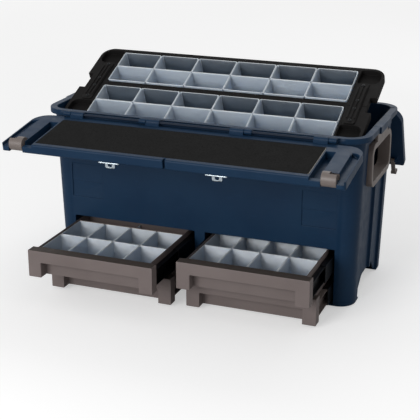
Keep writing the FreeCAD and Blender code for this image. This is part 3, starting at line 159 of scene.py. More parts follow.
@dataclass(frozen=True)
class Plastic:
    """A plastic, moulded, foamed or sprayed on, with a fine grain, lengths in millimetres.

    Slow clouds of a second shade stand for the flow of the melt, patches of gloss for handling,
    and paler strokes, where they are asked for, for the rubbing of hands and shelves. The real
    grain is about 0.2 mm from pit to pit. It is drawn coarser, so that it shows from close by.
    """

    name: str
    base: str
    light: str
    roughness: float
    specular: float
    rubbed: str | None = None
    cloud: float = 111.0
    patch: float = 16.67
    patch_gloss: tuple[float, float] = (-0.05, 0.06)
    grain: float = 0.714
    grain_depth: float = 0.06
    grain_strength: float = 0.35
    stroke: tuple[float, float, float] = (22.2, 22.2, 3.33)
    stroke_span: tuple[float, float] = (0.62, 0.8)
    stroke_share: float = 0.4

    def build(self) -> bpy.types.Material:
        """Make the material.

        Returns:
            The material.
        """
        graph, material = Graph.of_material(self.name)
        place = graph.add("TexCoord").outputs["Object"]
        cloud = graph.add(
            "TexNoise", {"Vector": place, "Scale": scale_of(self.cloud), "Detail": 3.0}
        )
        share = graph.add("MapRange", {"Value": cloud, **NOISE_SPAN, "To Min": 0, "To Max": 1})
        color = graph.add(
            "Mix", {SHARE: share, FIRST: self.base, SECOND: self.light}, data_type="RGBA"
        ).outputs[MIXED]
        if self.rubbed:
            along = graph.add(
                "Mapping", {"Vector": place, "Scale": [scale_of(mm) for mm in self.stroke]}
            )
            strokes = graph.add("TexNoise", {"Vector": along, "Scale": 1.0, "Detail": 8.0})
            low, high = self.stroke_span
            span = {"From Min": low, "From Max": high, "To Min": 0, "To Max": self.stroke_share}
            share = graph.add("MapRange", {"Value": strokes, **span})
            color = graph.add(
                "Mix", {SHARE: share, FIRST: color, SECOND: self.rubbed}, data_type="RGBA"
            ).outputs[MIXED]
        patches = graph.add(
            "TexNoise", {"Vector": place, "Scale": scale_of(self.patch), "Detail": 5.0}
        )
        low, high = (self.roughness + step for step in self.patch_gloss)
        gloss = graph.add(
            "MapRange", {"Value": patches, **NOISE_SPAN, "To Min": low, "To Max": high}
        )
        grain = graph.add(
            "TexNoise", {"Vector": place, "Scale": scale_of(self.grain), "Detail": 2.0}
        )
        depth = {"Strength": self.grain_strength, "Distance": self.grain_depth * MM}
        bump = graph.add("Bump", {"Height": grain, **depth})
        shader = graph.add(
            "BsdfPrincipled",
            {
                "Base Color": color,
                "Roughness": gloss,
                "Specular IOR Level": self.specular,
                "IOR": PLASTIC_IOR,
                "Normal": bump,
            },
        )
        graph.add("OutputMaterial", {"Surface": shader})
        return material


@dataclass(frozen=True)
class Frosted:
    """A thin uncoloured polypropylene with a faintly wavy skin, lengths in millimetres.

    It is milky, because light spreads in it, and darker where something dark lies behind it.
    """

    name: str
    base: str
    light: str
    clear: float
    cloud: float = 41.7
    patch: float = 12.5
    gloss: tuple[float, float] = (0.30, 0.42)
    wave: float = 14.3
    wave_depth: float = 0.4
    wave_strength: float = 0.05
    spread: float = 6.0

    def build(self) -> bpy.types.Material:
        """Make the material.

        Returns:
            The material.
        """
        graph, material = Graph.of_material(self.name)
        place = graph.add("TexCoord").outputs["Object"]
        cloud = graph.add(
            "TexNoise", {"Vector": place, "Scale": scale_of(self.cloud), "Detail": 3.0}
        )
        share = graph.add("MapRange", {"Value": cloud, **NOISE_SPAN, "To Min": 0, "To Max": 1})
        color = graph.add(
            "Mix", {SHARE: share, FIRST: self.base, SECOND: self.light}, data_type="RGBA"
        ).outputs[MIXED]
        patches = graph.add(
            "TexNoise", {"Vector": place, "Scale": scale_of(self.patch), "Detail": 4.0}
        )
        low, high = self.gloss
        gloss = graph.add(
            "MapRange", {"Value": patches, **NOISE_SPAN, "To Min": low, "To Max": high}
        )
        wave = graph.add(
            "TexNoise", {"Vector": place, "Scale": scale_of(self.wave), "Detail": 2.0}
        )
        depth = {"Strength": self.wave_strength, "Distance": self.wave_depth * MM}
        bump = graph.add("Bump", {"Height": wave, **depth})
        shader = graph.add(
            "BsdfPrincipled",
            {
                "Base Color": color,
                "Roughness": gloss,
                "Transmission Weight": self.clear,
                "Subsurface Weight": 1.0,
                "Subsurface Radius": (1.0, 1.0, 1.0),
                "Subsurface Scale": self.spread * MM,
                "IOR": PLASTIC_IOR,
                "Normal": bump,
            },
        )
        graph.add("OutputMaterial", {"Surface": shader})
        return material


@dataclass(frozen=True)
class Metal:
    """A drawn or pressed steel with a thin coat of metal or oxide, lengths in millimetres.

    The marks of drawing run front to back. They are finer than a tenth of a millimetre on the
    real steel, and drawn coarser, so that they show from close by.
    """

    name: str
    base: str
    light: str
    roughness: float
    mark: tuple[float, float, float] = (1.11, 37.0, 1.11)
    mark_gloss: tuple[float, float] = (-0.06, 0.08)
    mark_depth: float = 0.04
    mark_strength: float = 0.2

    def build(self) -> bpy.types.Material:
        """Make the material.

        Returns:
            The material.
        """
        graph, material = Graph.of_material(self.name)
        place = graph.add("TexCoord").outputs["Object"]
        along = graph.add(
            "Mapping", {"Vector": place, "Scale": [scale_of(mm) for mm in self.mark]}
        )
        marks = graph.add("TexNoise", {"Vector": along, "Scale": 1.0, "Detail": 3.0})
        share = graph.add("MapRange", {"Value": marks, **NOISE_SPAN, "To Min": 0, "To Max": 1})
        color = graph.add(
            "Mix", {SHARE: share, FIRST: self.base, SECOND: self.light}, data_type="RGBA"
        ).outputs[MIXED]
        low, high = (self.roughness + step for step in self.mark_gloss)
        gloss = graph.add(
            "MapRange", {"Value": marks, **NOISE_SPAN, "To Min": low, "To Max": high}
        )
        depth = {"Strength": self.mark_strength, "Distance": self.mark_depth * MM}
        bump = graph.add("Bump", {"Height": marks, **depth})
        shader = graph.add(
            "BsdfPrincipled",
            {"Base Color": color, "Metallic": 1.0, "Roughness": gloss, "Normal": bump},
        )
        graph.add("OutputMaterial", {"Surface": shader})
        return material


@dataclass(frozen=True)
class Dimpled:
    """A dull moulded rubber with round dimples in its skin, lengths in millimetres."""

    name: str
    base: str
    light: str
    roughness: float
    dimple: float = 2.38
    dimple_span: tuple[float, float] = (0.1, 0.8)
    dimple_depth: float = 0.3
    dimple_strength: float = 0.5
    patch: float = 25.0
    patch_gloss: tuple[float, float] = (-0.06, 0.06)
    specular: float = 0.02

    def build(self) -> bpy.types.Material:
        """Make the material.

        Returns:
            The material.
        """
        graph, material = Graph.of_material(self.name)
        place = graph.add("TexCoord").outputs["Object"]
        cells = graph.add(
            "TexVoronoi", {"Vector": place, "Scale": scale_of(self.dimple)}, feature="SMOOTH_F1"
        )
        from_middle = cells.outputs["Distance"]
        low, high = self.dimple_span
        span = {"From Min": low, "From Max": high, "To Min": 1.0, "To Max": 0.0}
        share = graph.add("MapRange", {"Value": from_middle, **span})
        color = graph.add(
            "Mix", {SHARE: share, FIRST: self.base, SECOND: self.light}, data_type="RGBA"
        ).outputs[MIXED]
        patches = graph.add(
            "TexNoise", {"Vector": place, "Scale": scale_of(self.patch), "Detail": 4.0}
        )
        low, high = (self.roughness + step for step in self.patch_gloss)
        gloss = graph.add(
            "MapRange", {"Value": patches, **NOISE_SPAN, "To Min": low, "To Max": high}
        )
        depth = {"Strength": self.dimple_strength, "Distance": self.dimple_depth * MM}
        bump = graph.add("Bump", {"Height": from_middle, **depth})
        shader = graph.add(
            "BsdfPrincipled",
            {
                "Base Color": color,
                "Roughness": gloss,
                "Specular IOR Level": self.specular,
                "Normal": bump,
            },
        )
        graph.add("OutputMaterial", {"Surface": shader})
        return material


class Finish(Enum):
    """Every finish of the box, each with its record slot."""

    # Coloured polypropylene from an eroded tool: an even soft sheen, and paler dull strokes
    # where the walls and lids have been rubbed.
    NAVY = (
        Plastic("moulded_navy_polypropylene", "#132A42", "#173048", 0.42, 0.13, rubbed="#1F3C5A"),
        "navy_plastic",
    )
    # The same plastic coloured with soot, from a coarser tool: nearly no sheen.
    BLACK = (
        Plastic("moulded_black_polypropylene", "#191818", "#1F1E1E", 0.55, 0.04),
        "black_plastic",
    )
    # The same plastic in warm grey: a dull face with a weak wide highlight.
    DRAWER = (
        Plastic("moulded_grey_polypropylene", "#675D5B", "#716765", 0.46, 0.3),
        "grey_plastic",
    )
    # The drawers' grey with painted shade, for the level tops of their walls: darker and duller.
    DRAWER_TOP_SHADE = (
        Plastic("painted_shade_grey_drawer_tops", "#443D39", "#4C4541", 0.6, 0.15),
        "grey_plastic",
    )
    # Nylon in warm grey from a smoother tool: the clearest highlight among the plastics.
    LINER = (
        Plastic("moulded_warm_grey_nylon", "#675E5A", "#706763", 0.42, 0.4),
        "warm_grey_plastic",
    )
    # Uncoloured polypropylene in a thin wall: milky and a little blue.
    BIN = (
        Frosted("moulded_frosted_polypropylene", "#B9C8DB", "#C5D3E3", 0.35),
        "bin_plastic",
    )
    # The same plastic with painted shade, for the back walls of bins that stand against a black tray:
    # darker, as the black behind them.
    BIN_BACK_SHADE = (
        Frosted("frosted_polypropylene_painted_back_shade", "#434F5C", "#505C68", 0.2),
        "bin_plastic",
    )
    # The rolled rim of the tray bins, where the plastic is thick, with a painted highlight: paler.
    BIN_RIM_HIGHLIGHT = (
        Frosted("frosted_polypropylene_painted_rim_highlight", "#CBD6E0", "#D6E0E8", 0.05),
        "bin_plastic",
    )
    # The thin lip of the drawer bins, with a painted highlight that shows as a bright line.
    BIN_LIP_HIGHLIGHT = (
        Frosted("frosted_polypropylene_painted_lip_highlight", "#E9EFF4", "#F2F6F9", 0.0),
        "bin_plastic",
    )
    # Rubber sheet pressed by a studded roller: quite dull, and a little lighter in its dimples.
    MAT = (Dimpled("dimpled_rubber_sheet", "#1E1E1E", "#292929", 0.85), "mat_foam")
    # A painted highlight on the mat's ends and their rounded edges: pale and dull.
    MAT_END_HIGHLIGHT = (Plastic("painted_mat_end_highlight", "#B9B4AA", "#C6C1B8", 0.7, 0.2), "mat_foam")
    # Pressed steel plated with zinc: bright and slightly blue, with soft reflections.
    STEEL = (Metal("zinc_plated_steel", "#C4D2DC", "#DDE6EC", 0.28), "steel")
    # Drawn steel blackened in a bath: dark, with a dim sheen along the marks.
    RUNNER = (Metal("blackened_drawn_steel", "#1D1E1F", "#2E2F31", 0.42), "runner_steel")
    # Drawn steel with a sprayed coat in the drawers' grey: dull and even.
    RUNNER_COAT = (
        Plastic("grey_coated_drawn_steel", "#5F5653", "#675E5A", 0.5, 0.3),
        "runner_steel",
    )
    # Steel pins with a sprayed navy coat: they fade into the box.
    PIN = (Plastic("navy_coated_steel", "#0B1828", "#0F1E30", 0.55, 0.2), "steel")
    # Moulded rubber with a dimpled skin: black and dull.
    RUBBER = (Dimpled("moulded_dimpled_rubber", "#1A1A1A", "#222222", 0.8), "foot_rubber")

    @property
    def slot(self) -> str:
        """The record slot of the finish."""
        return self.value[1]

    @property
    def material(self) -> bpy.types.Material:
        """The material, made when it is first asked for.

        Returns:
            The material.
        """
        if self not in MADE:
            MADE[self] = self.value[0].build()
        return MADE[self]


MADE: dict[Finish, bpy.types.Material] = {}


def new_piece(name: str, mesh: bpy.types.Mesh, finish: Finish, body: str) -> bpy.types.Object:
    """Put a mesh in the scene as a piece that rides on a body.

    Args:
        name: Name of the piece.
        mesh: Its mesh, in the shared frame.
        finish: Its finish.
        body: The body it moves with.

    Returns:
        The new object.
    """
    piece = bpy.data.objects.new(name, mesh)
    bpy.context.scene.collection.objects.link(piece)
    mesh.materials.clear()
    mesh.materials.append(finish.material)
    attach(piece, body)
    log.info("%s rides on %s, in %s", name, body, finish.material.name)
    return piece


def smooth(mesh: bpy.types.Mesh, degrees: float) -> None:
    """Shade smooth, with creases where faces meet at more than the given angle."""
    mesh.polygons.foreach_set("use_smooth", [True] * len(mesh.polygons))
    mesh.set_sharp_from_angle(angle=math.radians(degrees))


def plain(finish: Finish, *nodes: str) -> None:
    """Keep CAD nodes as they are, with a finish.

    Args:
        finish: The finish.
        nodes: Names of the nodes.
    """
    for name in nodes:
        mesh = frame["nodes"][name].data
        mesh.materials.clear()
        mesh.materials.append(finish.material)
        log.info("%s keeps its form, in %s", name, finish.material.name)


def rows_of(items: bpy.types.bpy_prop_collection, what: str) -> np.ndarray:
    """Read a place or direction of every point or face of a mesh.

    Args:
        items: The points or the faces of the mesh.
        what: Blender's name of the three numbers.

    Returns:
        An array with a row of three numbers for each.
    """
    rows = np.empty(3 * len(items))
    items.foreach_get(what, rows)
    return rows.reshape(-1, 3)


def repaint(mesh: bpy.types.Mesh, faces: np.ndarray, finish: Finish) -> None:
    """Give the marked faces of a mesh a second finish."""
    mesh.materials.append(finish.material)
    mesh.polygons.foreach_set("material_index", faces.astype(np.int32))


def apply_modifiers(piece: bpy.types.Object) -> bpy.types.Mesh:
    """Give a piece the mesh that its modifiers make, without them.

    Args:
        piece: The piece.

    Returns:
        Its new mesh.
    """
    graph = bpy.context.evaluated_depsgraph_get()
    mesh = bpy.data.meshes.new_from_object(piece.evaluated_get(graph))
    piece.modifiers.clear()
    piece.data = mesh
    return mesh


def hold_to(mesh: bpy.types.Mesh, source: bpy.types.Mesh, reach: float) -> None:
    """Draw back the points that a rounding threw off the solid.

    A point that lies further out than the reach goes to the nearest point of the solid, and
    then each coordinate is held between the least and the greatest of the solid.

    Args:
        mesh: The rounded mesh.
        source: The solid's mesh.
        reach: Greatest distance that a point may have from the solid, in metres.
    """
    corners, spots = rows_of(source.vertices, "co"), rows_of(mesh.vertices, "co")
    tree = BVHTree.FromPolygons(corners.tolist(), [tuple(p.vertices) for p in source.polygons])
    found = [tree.find_nearest(spot) for spot in spots.tolist()]
    nearest = np.array([tuple(place) for place, _, _, _ in found])
    away = np.array([distance for _, _, _, distance in found])
    spots = np.where(away[:, None] > reach, nearest, spots)
    spots = np.clip(spots, corners.min(axis=0), corners.max(axis=0))
    mesh.vertices.foreach_set("co", spots.ravel())
    mesh.update()


def softened(node: str, finish: Finish, radius: float) -> bpy.types.Object:
    """Stand in for a CAD node with a copy whose moulded edges are rounded.

    Args:
        node: The CAD node.
        finish: Its finish.
        radius: Radius of the rounding, in millimetres.

    Returns:
        The new object.
    """
    plain(finish, node)
    source = frame["nodes"][node]
    work = bmesh.new()
    work.from_mesh(source.data)
    bmesh.ops.remove_doubles(work, verts=work.verts, dist=WELD)
    mesh = bpy.data.meshes.new(node + "_soft")
    work.to_mesh(mesh)
    work.free()
    smooth(mesh, CREASE)
    piece = new_piece(node + "_moulding", mesh, finish, source["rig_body"])
    bevel = piece.modifiers.new("round", "BEVEL")
    bevel.width = radius * MM
    bevel.segments = ROUND_SEGMENTS
    bevel.limit_method = "ANGLE"
    bevel.angle_limit = math.radians(CREASE)
    bevel.use_clamp_overlap = False
    bevel.miter_outer = "MITER_ARC"
    bevel.harden_normals = True
    hold_to(apply_modifiers(piece), source.data, ROUND_REACH * radius * MM)
    even = piece.modifiers.new("even", "WEIGHTED_NORMAL")
    even.mode = "FACE_AREA_WITH_ANGLE"
    even.weight = FACE_WEIGHT
    even.keep_sharp = True
    apply_modifiers(piece)
    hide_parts(node)
    return piece


def skin(levels: int, around: int, copies: int) -> np.ndarray:
    """Faces of closed rings that are joined level by level.

    Each face joins a point, its neighbour on the ring and the two above them.

    Args:
        levels: Rings in each copy.
        around: Points in each ring.
        copies: How many such stacks follow each other in the vertex list.

    Returns:
        An array of quads.
    """
    copy, level, step = np.indices((copies, levels - 1, around)).reshape(3, -1)
    start = (copy * levels + level) * around
    here, beside = start + step, start + (step + 1) % around
    return np.stack([here, beside, beside + around, here + around], axis=1)


@dataclass(frozen=True)
class Cup:
    """A loose bin with tapered sides and a rolled rim, in millimetres and degrees.

    The pairs are a way in from the side and a way up from the floor. The bands are the rows of
    faces between two rings of the profile, counted from 0. Faces that meet at more than the
    crease's angle are shaded as an edge.
    """

    length: float
    depth: float
    height: float
    # The finish of the rim's faces, which carries a painted highlight.
    edge: Finish = Finish.BIN_RIM_HIGHLIGHT
    wall: float = 1.2
    taper: float = 1.5
    rim: float = 2.4
    rim_step: float = 0.3
    rim_slope: float = 0.4
    lip_round: float = 0.35
    mouth_round: float = 0.3
    foot_round: float = 1.3
    foot_middle: float = 0.4
    floor_round: tuple[float, float] = (2.4, 2.2)
    floor_middle: tuple[float, float] = (0.7, 0.6)
    corner: float = 3.0
    corner_loss: float = 0.6
    least_corner: float = 0.8
    steps: int = 5
    crease: float = 50.0
    lip_bands: ClassVar[tuple[int, int]] = (5, 7)
    inner_band: ClassVar[int] = 8

    def profile(self) -> np.ndarray:
        """Go from the underside up the outside, over the rim and down to the floor inside.

        Returns:
            An array of levels below the rim's top and insets from the outer rectangle.
        """
        low, floor = -self.height, -self.height + self.wall
        inside = self.wall + self.taper
        return np.array(
            [
                (low, self.taper + self.foot_round),
                (low + self.foot_middle, self.taper + self.foot_middle),
                (low + self.foot_round, self.taper),
                (-self.rim, self.rim_step),
                (self.rim_slope - self.rim, 0.0),
                (-self.lip_round, 0.0),
                (0.0, self.lip_round),
                (0.0, self.wall - self.mouth_round),
                (-self.mouth_round, self.wall),
                (floor + self.floor_round[1], inside),
                (floor + self.floor_middle[1], inside + self.floor_middle[0]),
                (floor, inside + self.floor_round[0]),
            ]
        )

    def points(self) -> np.ndarray:
        """Carry the profile round a rectangle with rounded corners.

        A point is the middle of its corner's arc, with the signs of its quarter, plus the arc's
        radius at the point's angle. Both are drawn in by the ring's inset, the radius by less.

        Returns:
            An array of levels by points by three, in metres.
        """
        level, inset = self.profile().T[:, :, None]
        quarter, step = np.divmod(np.arange(4 * (self.steps + 1)), self.steps + 1)
        angle = (quarter + step / self.steps) * math.pi / 2
        middle = (quarter + 0.5) * math.pi / 2
        radius = np.maximum(self.least_corner, self.corner - self.corner_loss * inset)
        x = np.sign(np.cos(middle)) * (self.length / 2 - inset - radius) + radius * np.cos(angle)
        y = np.sign(np.sin(middle)) * (self.depth / 2 - inset - radius) + radius * np.sin(angle)
        return np.stack([x, y, level + 0 * x], axis=2) * MM

    def row(
        self, node: str, centres: np.ndarray, turn: Matrix, paint_back_shade: bool = False
    ) -> bpy.types.Object:
        """Stand in for a CAD row of bins with finer ones.

        Args:
            node: The CAD node of the row.
            centres: Middle of each bin's rim, in metres, before the turn.
            turn: Place of the row in the shared frame.
            paint_back_shade: Whether each bin's back wall gets painted shade, for a black wall behind.

        Returns:
            The new object.
        """
        rings = self.points()
        levels, around = rings.shape[:2]
        copies = len(centres)
        spots = (rings[None] + centres[:, None, None, :]).reshape(-1, 3)
        sides = skin(levels, around, copies)
        starts = np.arange(copies)[:, None] * levels * around
        under = starts + np.arange(around)[None, ::-1]
        floor = starts + (levels - 1) * around + np.arange(around)
        mesh = bpy.data.meshes.new(node + "_cups")
        mesh.from_pydata(spots.tolist(), [], sides.tolist() + under.tolist() + floor.tolist())
        mesh.transform(turn)
        smooth(mesh, self.crease)
        piece = new_piece(node + "_cups", mesh, Finish.BIN, frame["nodes"][node]["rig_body"])
        mesh.materials.append(self.edge.material)
        mesh.materials.append(Finish.BIN_BACK_SHADE.material)
        band, step = np.indices((levels - 1, around)).reshape(2, -1)
        # The rim's faces take the painted highlight.
        lip = (band >= self.lip_bands[0]) & (band <= self.lip_bands[1])
        # The face after the first corner's last point is the wall towards the rear, where painted
        # shade goes.
        back = (band == self.inner_band) & (step == self.steps) & paint_back_shade
        index = np.concatenate([np.tile(lip + 2 * back, copies), np.zeros(2 * copies)])
        mesh.polygons.foreach_set("material_index", index.astype(np.int32))
        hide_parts(node)
        plain(Finish.BIN, node)
        return piece


@dataclass(frozen=True)
class SocketScrew:
    """A pan head screw with a six-sided socket, in millimetres and degrees.

    The crown is a list of ways down from the head's top and in from its side.
    """

    length: float = 6.6
    shank_radius: float = 1.6
    tip_share: float = 0.6
    tip_height: float = 0.5
    head_radius: float = 3.4
    head_height: float = 1.6
    head_cut: tuple[float, float] = (0.1, 0.2)
    crown: tuple[tuple[float, float], ...] = ((0.75, 0.0), (0.3, 0.25), (0.06, 0.75), (0.0, 1.2))
    socket_radius: float = 1.75
    socket_depth: float = 1.0
    socket_round: float = 0.12
    least_gap: float = 4.0
    around: int = 24
    crease: float = 40.0

    def points(self) -> np.ndarray:
        """Carry a profile round the axis, from the tip over the head into the socket.

        The level is measured from the top of the head. A ring's radius runs between a circle's
        and a hexagon's, whose radius at an angle is its flat's distance over the cosine of the
        angle to that flat's middle.

        Returns:
            An array of levels by points by three, in metres.
        """
        shank, head, socket = self.shank_radius, self.head_radius, self.socket_radius
        rows = np.array(
            [
                (-self.length, self.tip_share * shank, 0),
                (self.tip_height - self.length, shank, 0),
                (-self.head_height, shank, 0),
                (-self.head_height, head - self.head_cut[0], 0),
                (self.head_cut[1] - self.head_height, head, 0),
                *[(-down, head - inset, 0) for down, inset in self.crown],
                (0.0, socket + self.socket_round, 1),
                (-self.socket_round, socket, 1),
                (-self.socket_depth, socket, 1),
            ]
        )
        level, radius, flat = rows.T[:, :, None]
        angle = np.arange(self.around) * 2 * math.pi / self.around
        side = math.cos(math.pi / 6) / np.cos(np.mod(angle, math.pi / 3) - math.pi / 6)
        reach = radius * (1 - flat + flat * side)
        return np.stack([reach * np.cos(angle), reach * np.sin(angle), level + 0 * reach], axis=2) * MM

    def tops(self, local: np.ndarray) -> np.ndarray:
        """Find the middle of each screw's top among the points of a node.

        The points of each side of the box are sorted from front to rear, and a new screw starts
        after each gap.

        Args:
            local: Points of the node, a row each, turned so that the screws stand upright.

        Returns:
            A row of three numbers for each screw.
        """
        found = []
        for side in (local[local[:, 0] < 0], local[local[:, 0] > 0]):
            order = side[np.argsort(side[:, 1])]
            breaks = np.nonzero(np.diff(order[:, 1]) > self.least_gap * MM)[0] + 1
            for screw in np.split(order, breaks):
                low, high = screw.min(axis=0), screw.max(axis=0)
                found.append([*((low + high) / 2)[:2], high[2]])
        return np.array(found)

    def stand_in(self, node: str, finish: Finish, tilt: float) -> bpy.types.Object:
        """Stand in for a CAD node of plain screws that face up, tilted about X.

        Args:
            node: The CAD node.
            finish: Its finish.
            tilt: Angle of the screws' tops, in radians.

        Returns:
            The new object.
        """
        plain(finish, node)
        source = frame["nodes"][node]
        turn = np.array(Matrix.Rotation(tilt, 3, "X"))
        tops = self.tops(rows_of(source.data.vertices, "co") @ turn)
        rings = self.points()
        levels, around = rings.shape[:2]
        placed = (rings[None] + tops[:, None, None, :]).reshape(-1, 3) @ turn.T
        starts = np.arange(len(tops))[:, None] * levels * around
        tip = starts + np.arange(around)[None, ::-1]
        socket = starts + (levels - 1) * around + np.arange(around)
        faces = skin(levels, around, len(tops)).tolist() + tip.tolist() + socket.tolist()
        mesh = bpy.data.meshes.new(node + "_heads")
        mesh.from_pydata(placed.tolist(), [], faces)
        smooth(mesh, self.crease)
        piece = new_piece(node + "_heads", mesh, finish, source["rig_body"])
        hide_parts(node)
        return piece


@dataclass(frozen=True)
class Chest:
    """The box moulding, the floor of its well, its handle liners, pins and feet, in millimetres."""

    wall_edge: float = 0.9
    liner_edge: float = 0.9
    bridge_level: float = 303.0

    def build(self) -> None:
        """Dress the box and what is fixed to it."""
        softened("box_shell", Finish.NAVY, self.wall_edge)
        for side in ("left", "right"):
            self.cover_bridge(softened(f"handle_liner_{side}", Finish.LINER, self.liner_edge))
        plain(Finish.BLACK, "well_floor")
        plain(Finish.RUBBER, "rubber_feet")
        plain(Finish.PIN, "hinge_pin_front", "hinge_pin_rear", "tray_pivot_pins")

    def cover_bridge(self, liner: bpy.types.Object) -> None:
        """Give the bridge over the rim, above its level, the colour of the box."""
        level = rows_of(liner.data.polygons, "center")[:, 2]
        repaint(liner.data, level > self.bridge_level * MM, Finish.NAVY)


@dataclass(frozen=True)
class Lids:
    """Both lid halves with their mats, caps, staples and clips, in millimetres.

    The last two numbers are the least share of a face's normal that points right or left where
    the face belongs to that end of a mat, which gets a painted highlight. The right end takes its
    rounded edges with it.
    """

    shell_edge: float = 0.9
    mat_edge: float = 0.6
    cap_edge: float = 0.8
    clip_edge: float = 0.6
    staple_edge: float = 0.4
    bracket_edge: float = 0.4
    right_end: float = 0.3
    left_end: float = 0.9

    def build(self) -> None:
        """Dress the halves and their fittings."""
        for half in ("front", "rear"):
            softened(f"{half}_lid_shell", Finish.NAVY, self.shell_edge)
            self.paint_end_highlights(softened(f"{half}_lid_mat", Finish.MAT, self.mat_edge))
        for side in ("left", "right"):
            softened(f"keeper_cap_{side}", Finish.LINER, self.cap_edge)
            softened(f"catch_clip_{side}", Finish.LINER, self.clip_edge)
            softened(f"padlock_staple_{side}", Finish.STEEL, self.staple_edge)
        softened("clip_brackets", Finish.NAVY, self.bracket_edge)
        plain(Finish.STEEL, "staple_rivets", "clip_pins")

    def paint_end_highlights(self, mat: bpy.types.Object) -> None:
        """Paint a pale highlight on the two ends of a mat."""
        across = rows_of(mat.data.polygons, "normal")[:, 0]
        # Painted highlight: faces that point far enough right or left take the pale finish.
        repaint(mat.data, (across > self.right_end) | (across < -self.left_end), Finish.MAT_END_HIGHLIGHT)


@dataclass(frozen=True)
class TrayFrame:
    """The two bin trays with their link bars and bins, in millimetres and degrees."""

    tilt: float = 24.0
    pivot: tuple[float, float, float] = (0.0, -99.2, 298.3)
    columns: int = 6
    pitch: float = 79.0
    row_depth: float = 45.0
    second_tray: float = 107.0
    rim_level: float = 10.0
    tray_edge: float = 0.7
    link_edge: float = 0.5
    cup: Cup = Cup(78.4, 44.4, 47.0)

    def build(self) -> None:
        """Dress the frame and put its bins in."""
        for tray in ("front", "rear"):
            softened(f"tray_{tray}", Finish.BLACK, self.tray_edge)
        for side in ("left", "right"):
            softened(f"link_bar_{side}", Finish.BLACK, self.link_edge)
        SocketScrew().stand_in("link_bar_screws", Finish.RUNNER, math.radians(self.tilt))
        place = Matrix.Translation(Vector(self.pivot) * MM)
        turn = place @ Matrix.Rotation(math.radians(self.tilt), 4, "X")
        for start, tray in ((0.0, "front"), (self.second_tray, "rear")):
            for row, label in enumerate(("front", "rear")):
                x = (np.arange(self.columns) - (self.columns - 1) / 2) * self.pitch
                y = start + (row + 0.5) * self.row_depth
                centres = np.stack([x, 0 * x + y, 0 * x + self.rim_level], axis=1) * MM
                # The rear row's bins get painted shade on their back walls.
                self.cup.row(f"bins_{tray}_tray_{label}", centres, turn, paint_back_shade=label == "rear")


@dataclass(frozen=True)
class Drawers:
    """The four drawers with their runners, dividers and bins, in millimetres.

    A face is level where at least the level share of its normal points up.
    """

    edge: float = 1.2
    columns: int = 4
    pitch: float = 53.5
    level_share: float = 0.9
    cup: Cup = Cup(52.9, 74.9, 45.0, edge=Finish.BIN_LIP_HIGHLIGHT)

    def build(self) -> None:
        """Dress the drawers and put the bins in the upper ones."""
        for level in ("upper", "lower"):
            for side in ("left", "right"):
                name = f"{level}_{side}"
                self.shade_tops(softened(f"drawer_{name}", Finish.DRAWER, self.edge))
                plain(Finish.RUNNER, f"runner_outer_{name}", f"runner_middle_{name}")
                inner = Finish.RUNNER if level == "upper" else Finish.RUNNER_COAT
                plain(inner, f"runner_inner_{name}")
                plain(Finish.BIN if level == "upper" else Finish.BLACK, f"divider_{name}")
                if level == "upper":
                    for label in ("front", "rear"):
                        self.fill(f"bins_{name}_{label}")

    def shade_tops(self, drawer: bpy.types.Object) -> None:
        """Paint shade on the level top of a drawer's walls, in a darker, duller grey.

        Args:
            drawer: The drawer.
        """
        level = rows_of(drawer.data.polygons, "center")[:, 2]
        up = rows_of(drawer.data.polygons, "normal")[:, 2]
        # Painted shade: the level top faces of the walls take the darker finish.
        top = (level > level.max() - self.edge * MM) & (up > self.level_share)
        repaint(drawer.data, top, Finish.DRAWER_TOP_SHADE)

    def fill(self, node: str) -> None:
        """Put finer bins where a CAD row stands.

        Args:
            node: The CAD node of the row.
        """
        low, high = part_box(node)
        across = (np.arange(self.columns) - (self.columns - 1) / 2) * self.pitch * MM
        x = (low.x + high.x) / 2 + across
        centres = np.stack([x, 0 * x + (low.y + high.y) / 2, 0 * x + high.z], axis=1)
        self.cup.row(node, centres, Matrix.Identity(4))


@dataclass(frozen=True)
class Lamp:
    """A square soft box that faces the middle of the object, in metres and watts."""

    name: str
    place: tuple[float, float, float]
    size: float
    power: float
    aim: tuple[float, float, float] = (0.0, 0.0, 0.2)

    def build(self) -> None:
        """Hang the lamp."""
        data = bpy.data.lights.new(self.name, "AREA")
        data.size = self.size
        data.energy = self.power
        item = bpy.data.objects.new(self.name, data)
        item.location = self.place
        towards = Vector(self.aim) - Vector(self.place)
        item.rotation_euler = towards.to_track_quat("-Z", "Y").to_euler()
        bpy.context.scene.collection.objects.link(item)


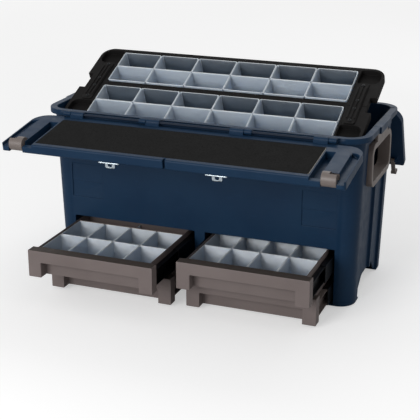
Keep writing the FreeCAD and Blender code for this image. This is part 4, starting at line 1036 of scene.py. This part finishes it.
@dataclass(frozen=True)
class Studio:
    """Camera, lamps, floor and surroundings, in metres, degrees and, for the lens, millimetres.

    The lift is what the floor gives off to the camera alone. It grows with the distance from its
    middle, from the first of its strengths at the near distance to the second at the far one.
    """

    place: tuple[float, float, float] = (0.703, -1.882, 0.827)
    azimuth: float = 21.20
    elevation: float = 19.61
    lens: float = 94.37
    sensor: float = 36.0
    nearest: float = 0.05
    furthest: float = 50.0
    floor_reach: float = 30.0
    floor_tones: tuple[str, str] = ("#DADADA", "#DCDCDC")
    floor_cloud: float = 2.0
    lift_middle: tuple[float, float, float] = (0.0, 0.9, 0.0)
    lift_distances: tuple[float, float] = (0.6, 3.6)
    lift_strengths: tuple[float, float] = (0.40, 0.64)
    ambient: float = 0.42
    white: float = 0.94
    lamps: tuple[Lamp, ...] = (
        Lamp("front_soft_box", (-0.9, -3.0, 1.05), 1.6, 62.0),
        Lamp("back_soft_box", (0.2, 1.8, 2.2), 1.6, 16.0),
    )

    def camera(self) -> None:
        """Put the camera at the photograph's viewing angle."""
        data = bpy.data.cameras.new("camera")
        data.lens = self.lens
        data.sensor_width = self.sensor
        data.clip_start = self.nearest
        data.clip_end = self.furthest
        item = bpy.data.objects.new("camera", data)
        item.location = self.place
        item.rotation_euler = (math.radians(90 - self.elevation), 0, math.radians(self.azimuth))
        bpy.context.scene.collection.objects.link(item)
        bpy.context.scene.camera = item

    def floor(self) -> None:
        """A wide pale floor that keeps the shadow and shows nearly white to the camera."""
        r = self.floor_reach
        mesh = bpy.data.meshes.new("floor")
        mesh.from_pydata([(-r, -r, 0), (r, -r, 0), (r, r, 0), (-r, r, 0)], [], [(0, 1, 2, 3)])
        graph, material = Graph.of_material("painted_pale_floor")
        place = graph.add("TexCoord").outputs["Object"]
        scale = 1 / self.floor_cloud
        cloud = graph.add("TexNoise", {"Vector": place, "Scale": scale, "Detail": 2.0})
        share = graph.add("MapRange", {"Value": cloud, **NOISE_SPAN, "To Min": 0, "To Max": 1})
        base, light = self.floor_tones
        color = graph.add("Mix", {SHARE: share, FIRST: base, SECOND: light}, data_type="RGBA")
        diffuse = graph.add("BsdfDiffuse", {"Color": color.outputs[MIXED]})
        away = graph.add("VectorMath", {0: place, 1: self.lift_middle}, operation="DISTANCE")
        (near, far), (weak, strong) = self.lift_distances, self.lift_strengths
        ramp = {"From Min": near, "From Max": far, "To Min": weak, "To Max": strong}
        lift = graph.add("MapRange", {"Value": away.outputs["Value"], **ramp})
        seen = graph.add("LightPath").outputs["Is Camera Ray"]
        strength = graph.add("Math", {0: seen, 1: lift}, operation="MULTIPLY")
        glow = graph.add("Emission", {"Color": WHITE, "Strength": strength})
        both = graph.add("AddShader", {0: diffuse, 1: glow})
        graph.add("OutputMaterial", {"Surface": both})
        mesh.materials.append(material)
        item = bpy.data.objects.new("floor", mesh)
        bpy.context.scene.collection.objects.link(item)

    def surroundings(self) -> None:
        """Even pale surroundings, nearly white where they are seen, mirrored or shine through."""
        world = bpy.data.worlds.new("studio")
        bpy.context.scene.world = world
        world.use_nodes = True
        graph = Graph(world.node_tree)
        path = graph.add("LightPath")
        soft = graph.add("Background", {"Color": WHITE, "Strength": self.ambient})
        white = graph.add("Background", {"Color": WHITE, "Strength": self.white})
        seen = path.outputs["Is Camera Ray"]
        for kind in ("Is Glossy Ray", "Is Transmission Ray"):
            seen = graph.add("Math", {0: seen, 1: path.outputs[kind]}, operation="MAXIMUM")
        mix = graph.add("MixShader", {0: seen, 1: soft, 2: white})
        graph.add("OutputWorld", {"Surface": mix})

    def build(self) -> None:
        """Set the whole stage."""
        bpy.context.scene.view_settings.view_transform = "Standard"
        self.camera()
        self.floor()
        self.surroundings()
        for lamp in self.lamps:
            lamp.build()


def main() -> None:
    """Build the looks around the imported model."""
    logging.basicConfig(level=logging.INFO)
    Studio().build()
    for assembly in (Chest(), Lids(), TrayFrame(), Drawers()):
        assembly.build()


if __name__ == "__main__":
    main()
